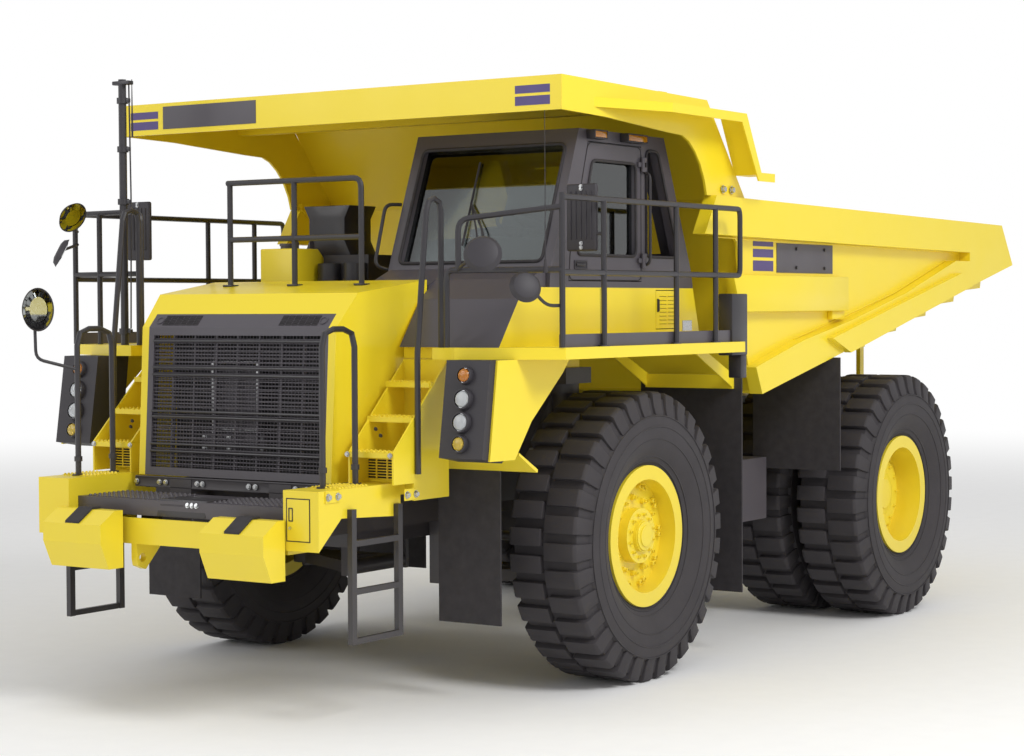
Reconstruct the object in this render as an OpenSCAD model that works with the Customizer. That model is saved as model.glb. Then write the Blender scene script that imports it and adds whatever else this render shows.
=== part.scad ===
// Rigid-frame mining dump truck of the 55 tonne class.
// +Z is up and the truck faces -Y, so its own left side, with the cab, is +X.
// Z = 0 is the ground, and the origin is the middle of the outline on the ground.
// Every module draws in the front-axle frame (y = 0 at the front axle) and moves itself
// into the truck's frame with from_axle().

/* [Overall] */
// Front axle to rear axle
wheelbase = 4300; // [4150:10:4450]
// Front axle forward to the face of the wheel chocks
nose_reach = 3220; // [3150:5:3260]
// Front axle back to the tip of the body's tail
tail_reach = 7104; // [7000:1:7200]
// Height of the canopy's top plate above the ground
canopy_top = 4400; // [4370:1:4430]

/* [Wheels] */
// Radius over the lugs, which is also the height of the axles
tyre_r = 1080; // [1060:1:1090]
// Width of the tyre at its bulge
tyre_w = 650; // [620:1:670]
// Width of the tread
tread_w = 570; // [540:1:600]
// Depth of the tread's lugs
lug_depth = 42; // [20:1:60]
// Number of lugs on each half of the tread
lug_count = 34; // [24:1:44]
// Radius of the rim where the bead sits
bead_r = 445; // [430:1:460]
// Radius of the rim's outer flange
flange_r = 528; // [515:1:540]
// Width of the rim between its flanges
rim_w = 432; // [400:1:460]
// Thickness of the rim's flange
flange_t = 24; // [16:1:32]
// Centre to centre of the front wheels
front_track = 3515; // [3480:5:3560]
// Centre to centre of the rear pairs
rear_track = 3080; // [3060:5:3110]
// Centre to centre of the two wheels of a rear pair
twin_spacing = 737; // [720:1:760]

/* [Steering] */
// Centre plane to the kingpin axis
kingpin_x = 1250; // [1220:1:1270]
// Outer radius of the suspension strut's barrel
strut_r = 122; // [110:1:130]
// Radius of the strut's rod
strut_rod_r = 78; // [60:1:90]
// Radius of the wheel spindle
spindle_r = 95; // [80:1:110]
// Kingpin back to the tie rod's ball
steer_arm = 450; // [420:5:480]
// Height of the tie rod
tie_rod_z = 960; // [940:5:980]
// Radius of the tie rod's tube
tie_rod_r = 38; // [30:1:45]
// Radius of the tie rod's ball pins
ball_r = 26; // [20:1:32]

/* [Frame] */
// Clear width between the two rails
rail_gap = 720; // [700:2:730]
// Width of one box rail
rail_w = 200; // [180:2:210]
// Bottom of the rails under the engine
rail_low = 1180; // [1160:5:1200]
// Top of the rails under the engine
rail_top = 1600; // [1580:5:1620]
// Top of the rails over the rear axle
rail_rear_top = 1945; // [1935:1:1955]
// Depth of the rails over the rear axle
rail_rear_h = 385; // [360:5:400]

/* [Body] */
// Rear axle back to the body's hinge pin
hinge_back = 1000; // [960:5:1040]
// Height of the body's hinge pin
hinge_z = 1780; // [1770:1:1790]
// Radius of the hinge pins
hinge_pin_r = 60; // [50:1:70]
// Outside width of the body's top rails
body_w = 4240; // [4200:2:4280]
// Thickness of the floor plate
floor_t = 25; // [18:1:30]
// Thickness of the side plates
side_t = 20; // [12:1:24]
// How far the rails stand out from the side plates
rail_proud = 110; // [90:1:130]
// Top of the body's side rails at the front
body_top = 3645; // [3620:1:3670]
// Depth of the top rails
top_rail_h = 300; // [280:1:320]
// Number of ribs under the floor
rib_count = 6; // [4:1:8]
// Half width of the canopy
canopy_half = 2070; // [2040:1:2090]
// Depth of the canopy's front lip
canopy_lip = 243; // [220:1:260]

/* [Hoist] */
// Centre plane to the hoist cylinders
hoist_x = 700; // [690:1:710]
// Outer radius of the hoist barrel
hoist_r = 105; // [95:1:110]
// Radius of the hoist rod
hoist_rod_r = 72; // [60:1:80]
// Radius of the hoist's pins
hoist_pin_r = 40; // [34:1:46]

/* [Front] */
// Front axle forward to the bumper's face
bumper_reach = 2990; // [2970:1:3010]
// Top of the bumper's end boxes
bumper_top = 1598; // [1590:1:1610]
// Outer half width of the bumper
bumper_half = 1275; // [1260:1:1290]
// Inner half width of the bumper's end boxes
bumper_in = 978; // [970:1:990]
// Half width of the hood at its front
hood_front_half = 885; // [875:1:900]
// Half width of the hood at its rear
hood_rear_half = 1005; // [995:1:1020]
// Thickness of the hood's sheets
hood_t = 12; // [8:1:16]
// Half width of the radiator grille
grille_half = 830; // [820:1:845]
// Number of rods in the grille
grille_rods = 34; // [20:1:44]
// Outer half width of the stairs
stair_half = 1390; // [1380:1:1400]

/* [Deck] */
// Half width of the deck
deck_half = 2300; // [2280:1:2320]
// Top of the deck
deck_top = 2515; // [2505:1:2525]
// Thickness of the deck's edge
deck_t = 80; // [70:1:90]
// Front axle forward to the deck's front edge
deck_front = 1900; // [1880:1:1920]
// Front axle back to the deck's rear edge
deck_rear = 990; // [960:1:1010]
// Diameter of the handrail tube
rail_d = 42; // [34:1:48]
// Height of the handrails over the deck
rail_h = 1020; // [980:5:1060]

/* [Cab] */
// Outer face of the cab on the truck's left
cab_left = 1850; // [1840:1:1860]
// Inner face of the cab
cab_right = 420; // [410:1:430]
// Bottom of the cab shell
cab_floor = 2930; // [2920:1:2940]
// Top of the cab's roof
cab_top = 4075; // [4065:1:4085]
// Thickness of the cab's walls
cab_wall = 70; // [60:1:80]
// Thickness of the window glass
glass_t = 8; // [6:1:10]

/* [Hidden] */
$fn = 48;
front_axle_y = (nose_reach - tail_reach) / 2;
axle_z = tyre_r;
rail_in = rail_gap / 2;
rail_out = rail_in + rail_w;
hinge_y = wheelbase + hinge_back;
body_half = body_w / 2;
side_x = body_half - rail_proud;          // outer face of the body's side plates
pin_clear = 0.05;                         // radial clearance of a pin in its bore
run_clear = 6;                            // clearance between pieces that move past each other
seat = 0.3;                               // gap where one piece sits on another
bar_sides = 8;

yellow = "#f5dc28";
dark = "#4a464c";
black = "#2b292c";

// ---- shared forms ----

module from_axle() { translate([0, front_axle_y, 0]) children(); }
module both_sides() { children(); mirror([1, 0, 0]) children(); }
// a box from its low corner to its high corner
module block(low, high) { translate(low) cube(high - low); }
// a side outline of (y, z) points, drawn from x0 to x1
module side_plate(x0, x1, outline) {
    translate([x0, 0, 0]) rotate([90, 0, 90]) linear_extrude(x1 - x0) polygon(outline);
}
// a front outline of (x, z) points, drawn from y0 to y1
module front_plate(y0, y1, outline) {
    translate([0, y1, 0]) rotate([90, 0, 0]) linear_extrude(y1 - y0) polygon(outline);
}
// a plan outline of (x, y) points, drawn from z0 to z1
module flat_plate(z0, z1, outline) {
    translate([0, 0, z0]) linear_extrude(z1 - z0) polygon(outline);
}
// a round bar along X, from x0 to x1
module pin_x(x0, x1, y, z, r) {
    translate([x0, y, z]) rotate([0, 90, 0]) cylinder(r = r, h = x1 - x0);
}
// a straight round bar between two points
module bar(a, b, d) {
    v = b - a;
    l = norm(v);
    lap = d * 0.2;
    translate(a) rotate([0, acos(v[2] / l), atan2(v[1], v[0])])
        translate([0, 0, -lap]) cylinder(d = d, h = l + 2 * lap, $fn = bar_sides);
}
function unit(v) = v / norm(v);
// the two or three points that round off corner i of a route
function bend(p, i, r) = let (
        a = p[i] + unit(p[i - 1] - p[i]) * min(r, norm(p[i - 1] - p[i]) * 0.45),
        b = p[i] + unit(p[i + 1] - p[i]) * min(r, norm(p[i + 1] - p[i]) * 0.45))
    [a, (a + 2 * p[i] + b) / 4, b];
function route(p, r) = [p[0], for (i = [1:1:len(p) - 2]) each bend(p, i, r), p[len(p) - 1]];
// heading of a route at its point i
function heading(q, i) = unit((i > 0 ? unit(q[i] - q[i - 1]) : [0, 0, 0]) +
    (i < len(q) - 1 ? unit(q[i + 1] - q[i]) : [0, 0, 0]));
// normal of the plane that a route bends in
function across(v) = unit(cross(v, abs(v[2]) < 0.9 ? [0, 0, 1] : [1, 0, 0]));
function bend_normal(p) = let (turn = len(p) > 2 ? cross(p[1] - p[0], p[2] - p[1]) : [0, 0, 0])
    norm(turn) > 1 ? unit(turn) : across(unit(p[1] - p[0]));
// a bar swept through a flat route, with rounded corners
module bent_bar(points, d, r) {
    q = route(points, r);
    n = bend_normal(points);
    s = bar_sides;
    last = (len(q) - 1) * s;
    polyhedron(
        [for (i = [0:len(q) - 1]) let (v = heading(q, i), w = cross(v, n)) for (k = [0:s - 1])
            q[i] + (cos(360 * k / s) * n + sin(360 * k / s) * w) * d / 2],
        concat([[for (k = [0:s - 1]) k], [for (k = [s - 1:-1:0]) last + k]],
            [for (i = [0:len(q) - 2], k = [0:s - 1]) let (a = i * s + k, b = i * s + (k + 1) % s)
                each [[a, a + s, b + s], [a, b + s, b]]]));
}
// the foot plate of a rail post, from its fixing at a along the deck by f
module post_foot(a, f) {
    hull() for (t = [-1, 1]) translate(a + t * f) cylinder(r = 24, h = 10, $fn = 12);
}

// ---- frame and running gear ----

// pitch of the body's floor, rising to the tail
floor_low = [1629, 2083];
floor_rise = (3186 - floor_low[1]) / (tail_reach - floor_low[0]);
function floor_z(y) = floor_low[1] + (y - floor_low[0]) * floor_rise;

arm_low = 700;
arm_high = 790;
arm_pivot_x = 430;
arm_front_y = -480;
arm_rear_y = 170;
ball_pin_r = 50;
tower_z = 2210;
tower_top = 2330;
hoist_foot = [2620, 760];
rail_front = -2400;
tank_high = [1500, wheelbase - tyre_r - 320, 1480];
tank_low = [850, tank_high[1] - 1150, 950];
hoist_head = [2780, 2150];
hoist_eye_r = 78;
hoist_eye_w = 90;
cheek_t = 22;
nose_r = 165;

module frame() color(dark) from_axle() {
    difference() {
        union() {
            both_sides() {
                side_plate(rail_in, rail_out, [[rail_front, rail_low + 120], [rail_front + 150, rail_low], [2700, rail_low],
                    [3350, rail_rear_top - rail_rear_h], [hinge_y, rail_rear_top - rail_rear_h],
                    [hinge_y, rail_rear_top - 25], [hinge_y - 120, rail_rear_top], [3250, rail_rear_top], [2550, rail_top],
                    [rail_front + 250, rail_top], [rail_front + 200, grille_low[1] - 20], [rail_front, grille_low[1] - 20]]);
                pin_x(rail_in, rail_out, hinge_y, hinge_z, nose_r - 5);
                // tower over the suspension strut
                front_plate(-180, 180, [[rail_out - 5, rail_low + 100], [rail_out - 5, rail_top], [720, 1900],
                    [1000, tower_top], [kingpin_x + 150, tower_top], [kingpin_x + 150, tower_z], [1100, tower_z],
                    [850, 1750], [680, rail_low + 100]]);
                // pivots of the lower arms
                for (y = [arm_front_y - 40 - seat, arm_rear_y + seat])
                    block([rail_in + 10, y, arm_low - 20], [rail_in + 130, y + 40, rail_low + 5]);
                // foot of the hoist cylinder: a plate on the rail with a pin and its collar
                side_plate(rail_out - 5, rail_out + 20, [[hoist_foot[0] - 100, hoist_foot[1] - 60], [hoist_foot[0] - 60, hoist_foot[1] - 100],
                    [hoist_foot[0] + 60, hoist_foot[1] - 100], [hoist_foot[0] + 100, hoist_foot[1] - 60],
                    [hoist_foot[0] + 230, rail_top - 60], [hoist_foot[0] - 230, rail_top - 60]]);
                pin_x(rail_out, hoist_x - hoist_eye_w / 2 - run_clear, hoist_foot[0], hoist_foot[1], hoist_eye_r - 8);
                pin_x(rail_out, hoist_x + hoist_eye_w / 2 + run_clear + 1, hoist_foot[0], hoist_foot[1], hoist_pin_r);
                pin_x(hoist_x + hoist_eye_w / 2 + run_clear, hoist_x + hoist_eye_w / 2 + run_clear + cheek_t, hoist_foot[0], hoist_foot[1],
                    hoist_eye_r - 8);
                // arms that carry the tank
                for (y = [tank_low[1] + 100, tank_low[1] + 560])
                    block([rail_out - 5, y, tank_low[2] + 240], [tank_low[0] - seat, y + 80, tank_low[2] + 380]);
                // seat of the rear suspension cylinder
                block([rail_out - 5, wheelbase - 130, rail_rear_top - 110], [rail_out + 160, wheelbase + 130, rail_rear_top - 60]);
                // carrier of the bumper
                block([rail_in, -2700, 1220], [rail_out, rail_front + 5, 1420]);
            }
            // cross members: place along the truck, height, radius
            for (c = [[-2200, 1350, 90], [2480, 1480, 100], [3550, 1760, 90], [4900, 1750, 100]])
                pin_x(-rail_in - 5, rail_in + 5, c[0], c[1], c[2]);
            // towing clevis at the rear
            for (z = [1640, 1760]) flat_plate(z, z + 40, [[-110, 4960], [110, 4960], [110, 5180], [60, 5240], [-60, 5240], [-110, 5180]]);
            block([-rail_in - 5, 4900, 1600], [rail_in + 5, 4965, 1860]);
        }
        pin_x(-rail_out - 50, rail_out + 50, hinge_y, hinge_z, hinge_pin_r + pin_clear);
        translate([0, 5160, 1600]) cylinder(r = 30, h = 300);
    }
}

nose_l = 520;
module engine() color(dark) from_axle() {
    block([-340, -1500, 1040], [340, 260, 1660]);
    both_sides() for (y = [-1300, 60]) block([339, y, 1300], [rail_in - seat, y + 120, 1400]);
    block([-460, -1500, rail_top + 20], [460, 260, 2180]);
    translate([0, -1500, 1900]) rotate([90, 0, 0]) cylinder(r = 90, h = 160);
    translate([0, -1650, 1900]) rotate([90, 0, 0]) cylinder(r = 450, h = 70);
}

module driveline() color(dark) from_axle() {
    block([-290, 1150, 900], [290, 2300, 1560]);
    both_sides() for (y = [1200, 2100]) block([289, y, 1250], [rail_in - seat, y + 120, 1350]);
    translate([0, 260 + seat, 1300]) rotate([-90, 0, 0]) cylinder(r = 60, h = 890 - 2 * seat + 1);
    shaft = [[0, 2299, 1240], [0, wheelbase - nose_l - seat, axle_z]];
    v = shaft[1] - shaft[0];
    translate(shaft[0]) rotate([-90 + atan2(v[2], v[1]), 0, 0]) cylinder(r = 65, h = norm(v) - 20);
    translate(shaft[1] - [0, 60, 0]) rotate([-90, 0, 0]) cylinder(r = 110, h = 60);
}

module front_suspension() color(dark) from_axle() both_sides() {
    difference() {
        union() {
            flat_plate(arm_low, arm_high, [[kingpin_x - 60, -110], [kingpin_x, -118], [kingpin_x, 118], [kingpin_x - 60, 110],
                [arm_pivot_x + 60, arm_rear_y], [arm_pivot_x, arm_rear_y], [arm_pivot_x, arm_rear_y - 170],
                [kingpin_x - 330, 0], [arm_pivot_x, arm_front_y + 170], [arm_pivot_x, arm_front_y], [arm_pivot_x + 60, arm_front_y]]);
            translate([kingpin_x, 0, arm_low]) cylinder(r = 118, h = arm_high - arm_low);
            translate([arm_pivot_x, arm_front_y, (arm_low + arm_high) / 2]) rotate([-90, 0, 0])
                cylinder(r = 60, h = arm_rear_y - arm_front_y);
        }
        translate([kingpin_x, 0, arm_low - 10]) cylinder(r = ball_pin_r + pin_clear, h = 200);
    }
    translate([kingpin_x, 0, 1200]) cylinder(r = strut_rod_r, h = 940);
    translate([kingpin_x, 0, 2135]) cylinder(r = 130, h = tower_z - seat - 2135);
}

// ---- wheels: drawn on +X as the axis, outboard positive ----

module on_axle(x, y) { translate([x, y, axle_z]) rotate([0, 90, 0]) children(); }

// half outline of a tyre: (radius, place across the tyre), from bead to crown
tyre_seat = rim_w / 2 - seat;
tyre_curve = 8;
shoulder_r = tyre_r - 105;
shoulder_w = tread_w / 2 + 12;
bulge = tyre_w / 2 - (tyre_seat + shoulder_w) / 2;
function sidewall(t) = [flange_r + 8 + (shoulder_r - flange_r - 8) * t,
    tyre_seat + (shoulder_w - tyre_seat) * t + bulge * sin(180 * t)];
half_tyre = concat([[bead_r + seat, tyre_seat]], [for (i = [0:tyre_curve]) sidewall(i / tyre_curve)],
    [[tyre_r - 16, tread_w / 2], [tyre_r, tread_w / 2 - 24]]);
module tyre() {
    rotate_extrude($fn = 72) polygon(concat(half_tyre,
        [for (i = [len(half_tyre) - 1:-1:0]) [half_tyre[i][0], -half_tyre[i][1]]]));
}

rim_wall = 22;
half_rim = rim_w / 2;
// a rim's ring with its two flanges
module rim_ring() {
    rotate_extrude() polygon([[bead_r - rim_wall, -half_rim - flange_t], [flange_r, -half_rim - flange_t],
        [flange_r, -half_rim], [bead_r, -half_rim], [bead_r, half_rim], [flange_r, half_rim],
        [flange_r, half_rim + flange_t], [bead_r - rim_wall, half_rim + flange_t]]);
}
hub_r = 205;
hub_bore_depth = 190;
front_disc = [70, 104];
module front_rim() color(yellow) {
    rim_ring();
    difference() {
        union() {
            translate([0, 0, front_disc[0]]) cylinder(r = bead_r - rim_wall + 1, h = front_disc[1] - front_disc[0]);
            translate([0, 0, -60]) cylinder(r = hub_r, h = 245);
            translate([0, 0, 184]) cylinder(r = 120, h = 30);
            for (i = [0:11]) rotate(i * 30) translate([285, 0, front_disc[1] - 1]) cylinder(r = 24, h = 30);
        }
        translate([0, 0, -61]) cylinder(r = spindle_r + pin_clear, h = hub_bore_depth + 61 - 60);
    }
}
drum_r = 385;
axle_end_r = 170;
module rear_rims() color(yellow) {
    for (s = [-1, 1]) translate([0, 0, s * twin_spacing / 2]) rim_ring();
    rotate_extrude() polygon([[axle_end_r + pin_clear, -twin_spacing / 2 - 60], [drum_r, -twin_spacing / 2 - 60],
        [drum_r, -twin_spacing / 2 - 20], [bead_r - rim_wall + 1, -twin_spacing / 2 - 20], [bead_r - rim_wall + 1, -twin_spacing / 2 + 20],
        [drum_r, -twin_spacing / 2 + 20], [drum_r, twin_spacing / 2 - 40], [bead_r - rim_wall + 1, twin_spacing / 2 - 40],
        [bead_r - rim_wall + 1, twin_spacing / 2], [300, twin_spacing / 2], [300, twin_spacing / 2 + 60],
        [0, twin_spacing / 2 + 60], [0, twin_spacing / 2 - 10], [axle_end_r + pin_clear, twin_spacing / 2 - 10]]);
}

module front_rim_left() from_axle() on_axle(front_track / 2, 0) front_rim();
module front_rim_right() mirror([1, 0, 0]) front_rim_left();
module front_tyre_left() color(black) from_axle() on_axle(front_track / 2, 0) tyre();
module front_tyre_right() mirror([1, 0, 0]) front_tyre_left();
module rear_rims_left() from_axle() on_axle(rear_track / 2, wheelbase) rear_rims();
module rear_rims_right() mirror([1, 0, 0]) rear_rims_left();
module rear_tyres_left() color(black) from_axle()
    for (s = [-1, 1]) on_axle(rear_track / 2 + s * twin_spacing / 2, wheelbase) tyre();
module rear_tyres_right() mirror([1, 0, 0]) rear_tyres_left();

module knuckle_left() color(dark) from_axle() {
    difference() {
        union() {
            translate([kingpin_x, 0, arm_high + run_clear]) cylinder(r = strut_r, h = 1900 - arm_high - run_clear);
            on_axle(kingpin_x, 0) cylinder(r = 130, h = 170);
            on_axle(kingpin_x + 160, 0) cylinder(r = 290, h = 210);
        }
        translate([kingpin_x, 0, 1180]) cylinder(r = strut_rod_r + 5, h = 800);
    }
    on_axle(kingpin_x + 300, 0) cylinder(r = spindle_r, h = front_track / 2 + hub_bore_depth - 60 - 8 - kingpin_x - 300);
    translate([kingpin_x, 0, arm_low - 30]) cylinder(r = ball_pin_r, h = arm_high + 40 - arm_low);
    flat_plate(tie_rod_z - 98, tie_rod_z - 44, [[kingpin_x - 90, 0], [kingpin_x + 90, 0], [kingpin_x + 60, steer_arm],
        [kingpin_x - 60, steer_arm]]);
    translate([kingpin_x, steer_arm, tie_rod_z - 98]) cylinder(r = 60, h = 54);
    translate([kingpin_x, steer_arm, tie_rod_z - 50]) cylinder(r = ball_r, h = 85);
}
module knuckle_right() mirror([1, 0, 0]) knuckle_left();

module tie_rod() color(dark) from_axle() difference() {
    union() {
        pin_x(-kingpin_x + 40, kingpin_x - 40, steer_arm, tie_rod_z, tie_rod_r);
        both_sides() translate([kingpin_x, steer_arm, tie_rod_z - 25]) cylinder(r = 52, h = 50);
    }
    both_sides() translate([kingpin_x, steer_arm, tie_rod_z - 60]) cylinder(r = ball_r + pin_clear, h = 120);
}

module rear_axle() color(dark) from_axle() {
    on_axle(0, wheelbase) rotate_extrude() polygon([[0, -420], [230, -420], [300, -260], [330, -120], [330, 120], [300, 260], [230, 420], [0, 420]]);
    translate([0, wheelbase - nose_l, axle_z]) rotate([-90, 0, 0]) cylinder(r = 150, h = nose_l - 200);
    pin_x(-rear_track / 2 + twin_spacing / 2 + 500, rear_track / 2 - twin_spacing / 2 - 500, wheelbase, axle_z, 230);
    both_sides() {
        pin_x(300, 1010, wheelbase, axle_z, 230);
        pin_x(1000, rear_track / 2 + twin_spacing / 2 - 20, wheelbase, axle_z, axle_end_r);
        block([rail_out, wheelbase - 110, axle_z + 150], [rail_out + 160, wheelbase + 110, axle_z + 255]);
    }
}

module rear_suspension() color(dark) from_axle() both_sides() {
    // suspension cylinder between axle and frame
    translate([rail_out + 80, wheelbase, axle_z + 255 + seat]) cylinder(r = 70, h = rail_rear_top - 110 - axle_z - 255 - 2 * seat);
    // trailing link from the axle to the frame
    side_plate(rail_in + 60, rail_in + 140, [[2900, 1100], [2900, 1180 - seat], [3050, 1180 - seat],
        [wheelbase - 230 - seat, 1130], [wheelbase - 230 - seat, 1030], [3050, 1010]]);
}

// ---- dump body ----

plate_in = side_x - side_t;
tail_top = [6812, 3576];
tail_tip = [tail_reach, floor_z(tail_reach)];
head_low = [1640, floor_z(1640)];
head_mid = [1400, body_top];
head_top = [815, 4374];
// ribs under the floor: middle along the truck, width
rib_first = wheelbase - 1185;
rib_last = tail_reach - 684;
ribs = [for (i = [0:rib_count - 1]) [rib_first + i * (rib_last - rib_first) / (rib_count - 1), 290 + 34 * i]];
rib_h = 115;

module dump_body() color(yellow) from_axle() {
    difference() {
        union() {
            both_sides() {
                side_plate(plate_in, side_x, [head_low, tail_tip, tail_top, [1041, body_top + 3], [870, body_top], [1400, 3300], [1500, 2700]]);
                // top rail and tail
                side_plate(side_x, body_half, [[680, body_top - top_rail_h], [5978, 3293], [5978, 3208], [5640, 3208], [4440, 2892],
                    [3350, 2668], [2360, 2499], [1520, 2300], floor_low, tail_tip, tail_top, [870, body_top]
                    ]);
                // lower channel
                side_plate(body_half - 1, body_half + 60, [[2810, 2513], [3170, 2385], [5900, 2966], [5640, 3090]]);
            }
            // floor
            side_plate(-plate_in - 1, plate_in + 1, [head_low, tail_tip, tail_tip + [-20, floor_t], [head_low[0] - 10, head_low[1] + floor_t]]);
            // head plate
            side_plate(-plate_in - 1, plate_in + 1, [head_low, head_low + [24, 0], head_mid + [24, 0], head_mid]);
            for (r = ribs) side_plate(-side_x + 40, side_x - 40, [[r[0] - r[1] / 2, floor_z(r[0] - r[1] / 2) + 2],
                [r[0] - r[1] / 2 + 60, floor_z(r[0]) - rib_h], [r[0] + r[1] / 2 - 40, floor_z(r[0]) - rib_h + 20],
                [r[0] + r[1] / 2, floor_z(r[0] + r[1] / 2) + 2]]);
            both_sides() {
                // sill that rests on the frame
                side_plate(rail_in, rail_out, [[2300, floor_z(2300) + 5], [3200, rail_rear_top + seat], [hinge_y + 60, rail_rear_top + seat],
                    [hinge_y + 300, 2250], [6300, floor_z(6300) + 5]]);
                for (x = [rail_in - run_clear - 40, rail_out + run_clear]) {
                    side_plate(x, x + 40, [[hinge_y - 330, 2300], [hinge_y - 120, hinge_z - 30], [hinge_y + 120, hinge_z - 30],
                        [hinge_y + 330, 2300], [hinge_y + 330, floor_z(hinge_y + 330) + 5], [hinge_y - 330, floor_z(hinge_y - 330) + 5]]);
                    pin_x(x, x + 40, hinge_y, hinge_z, 125);
                }
                pin_x(rail_in - run_clear - 40, rail_out + run_clear + 40, hinge_y, hinge_z, hinge_pin_r);
                // cheeks for the hoist rod
                for (x = [hoist_x - hoist_eye_w / 2 - run_clear - cheek_t, hoist_x + hoist_eye_w / 2 + run_clear])
                    side_plate(x, x + cheek_t, [[hoist_head[0] - 260, floor_z(hoist_head[0] - 260) + 5], [hoist_head[0] - 90, hoist_head[1] - 90],
                        [hoist_head[0] + 90, hoist_head[1] - 90], [hoist_head[0] + 260, floor_z(hoist_head[0] + 260) + 5]]);
            }
        }
        both_sides() pin_x(hoist_x - 100, hoist_x + 100, hoist_head[0], hoist_head[1], hoist_pin_r + 1);
    }
}

canopy_front = -1276;
module canopy() color(yellow) from_axle() {
    both_sides() side_plate(canopy_half - 20, canopy_half, [[1420, body_top + seat], [803, body_top + seat], [767, 3760], [700, 3880], [611, 3978],
        [520, 4045], [421, 4082], [189, 4091], [-689, 4144], [canopy_front, canopy_top - canopy_lip], [canopy_front, canopy_top],
        [807, canopy_top - 26], [843, 4332]]);
    side_plate(-canopy_half + 19, canopy_half - 19, [[canopy_front, canopy_top - 14], [canopy_front, canopy_top], head_top + [8, 0], head_top + [8, -14]]);
    side_plate(-canopy_half + 19, canopy_half - 19, [[canopy_front, canopy_top - canopy_lip], [canopy_front, canopy_top],
        [canopy_front + 14, canopy_top], [canopy_front + 14, canopy_top - canopy_lip]]);
    side_plate(-canopy_half + 19, canopy_half - 19, [head_mid + [0, seat], head_mid + [20, seat], head_top + [20, 0], head_top]);
    for (y = [-600, 100]) block([-canopy_half + 19, y, canopy_top - 150], [canopy_half - 19, y + 120, canopy_top - 10]);
    // side wings
    both_sides() {
        flat_plate(4262, 4274, [[canopy_half - 1, -840], [canopy_half + 230, -120], [canopy_half + 230, 1024], [canopy_half - 1, 830]]);
        flat_plate(4205, 4270, [[canopy_half - 1, -850], [canopy_half + 230, -132], [canopy_half + 230, 1024], [canopy_half + 218, 1024], [canopy_half + 218, -120], [canopy_half - 1, -830]]);
        side_plate(canopy_half - 1, canopy_half + 230, [[1012, 4274], [1259, 3815], [1499, 3815], [1499, 3827], [1271, 3827], [1024, 4274]]);
        side_plate(canopy_half + 218, canopy_half + 230, [[950, 4205], [1024, 4274], [1265, 3830], [1499, 3831], [1499, 3764], [1225, 3764]]);
    }
    // feet on the body's top rails
    both_sides() block([side_x + 10, 900, body_top + seat], [canopy_half - 19, 1400, body_top + 60]);
}

module rock_ejectors() color(yellow) from_axle() both_sides()
    block([rear_track / 2 - 20, 4690, 1700], [rear_track / 2 + 20, 4770, floor_z(4690) - seat]);

guard_y = ribs[0][0] - ribs[0][1] / 2 - 30;
module body_guards() color(black) from_axle() both_sides()
    block([1350, guard_y, 1380], [2180, guard_y + 16, floor_z(guard_y) - seat]);

// ---- hoist: two-stage telescopic cylinders, one pair ----

hoist_reach = norm(hoist_head - hoist_foot);
hoist_lean = atan2(hoist_head[0] - hoist_foot[0], hoist_head[1] - hoist_foot[1]);
// stands children on the hoist's foot pin with +Z along the cylinder
module on_hoist() { translate([hoist_x, hoist_foot[0], hoist_foot[1]]) rotate([-hoist_lean, 0, 0]) children(); }
sleeve_r = hoist_r - 18;
hoist_clear = 0.5;
barrel_top = hoist_reach - 190;
module hoist_barrel_left() color(dark) from_axle() on_hoist() difference() {
    union() {
        translate([-hoist_eye_w / 2, 0, 0]) rotate([0, 90, 0]) cylinder(r = hoist_eye_r, h = hoist_eye_w);
        translate([0, 0, hoist_eye_r + 10]) cylinder(r = hoist_r, h = barrel_top - hoist_eye_r - 10);
        block([-hoist_eye_w / 2, -60, 0], [hoist_eye_w / 2, 60, hoist_eye_r + 11]);
    }
    translate([0, 0, 115]) cylinder(r = sleeve_r + hoist_clear, h = barrel_top);
    translate([-100, 0, 0]) rotate([0, 90, 0]) cylinder(r = hoist_pin_r + pin_clear, h = 200);
}
module hoist_barrel_right() mirror([1, 0, 0]) hoist_barrel_left();
module hoist_sleeve_left() color(dark) from_axle() on_hoist() difference() {
    translate([0, 0, 130]) cylinder(r = sleeve_r, h = barrel_top + 30 - 130);
    translate([0, 0, 150]) cylinder(r = hoist_rod_r - 8 + hoist_clear, h = barrel_top);
}
module hoist_sleeve_right() mirror([1, 0, 0]) hoist_sleeve_left();
module hoist_rod_left() color("silver") from_axle() on_hoist() {
    translate([0, 0, 165]) cylinder(r = hoist_rod_r - 8, h = hoist_reach - 165 - 150);
    translate([0, 0, hoist_reach - 160]) cylinder(r = hoist_eye_w / 2 - 3, h = 120);
    translate([-hoist_eye_w / 2, 0, hoist_reach]) rotate([0, 90, 0]) cylinder(r = hoist_eye_r, h = hoist_eye_w);
}
module hoist_rod_right() mirror([1, 0, 0]) hoist_rod_left();

// ---- front end ----

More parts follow.
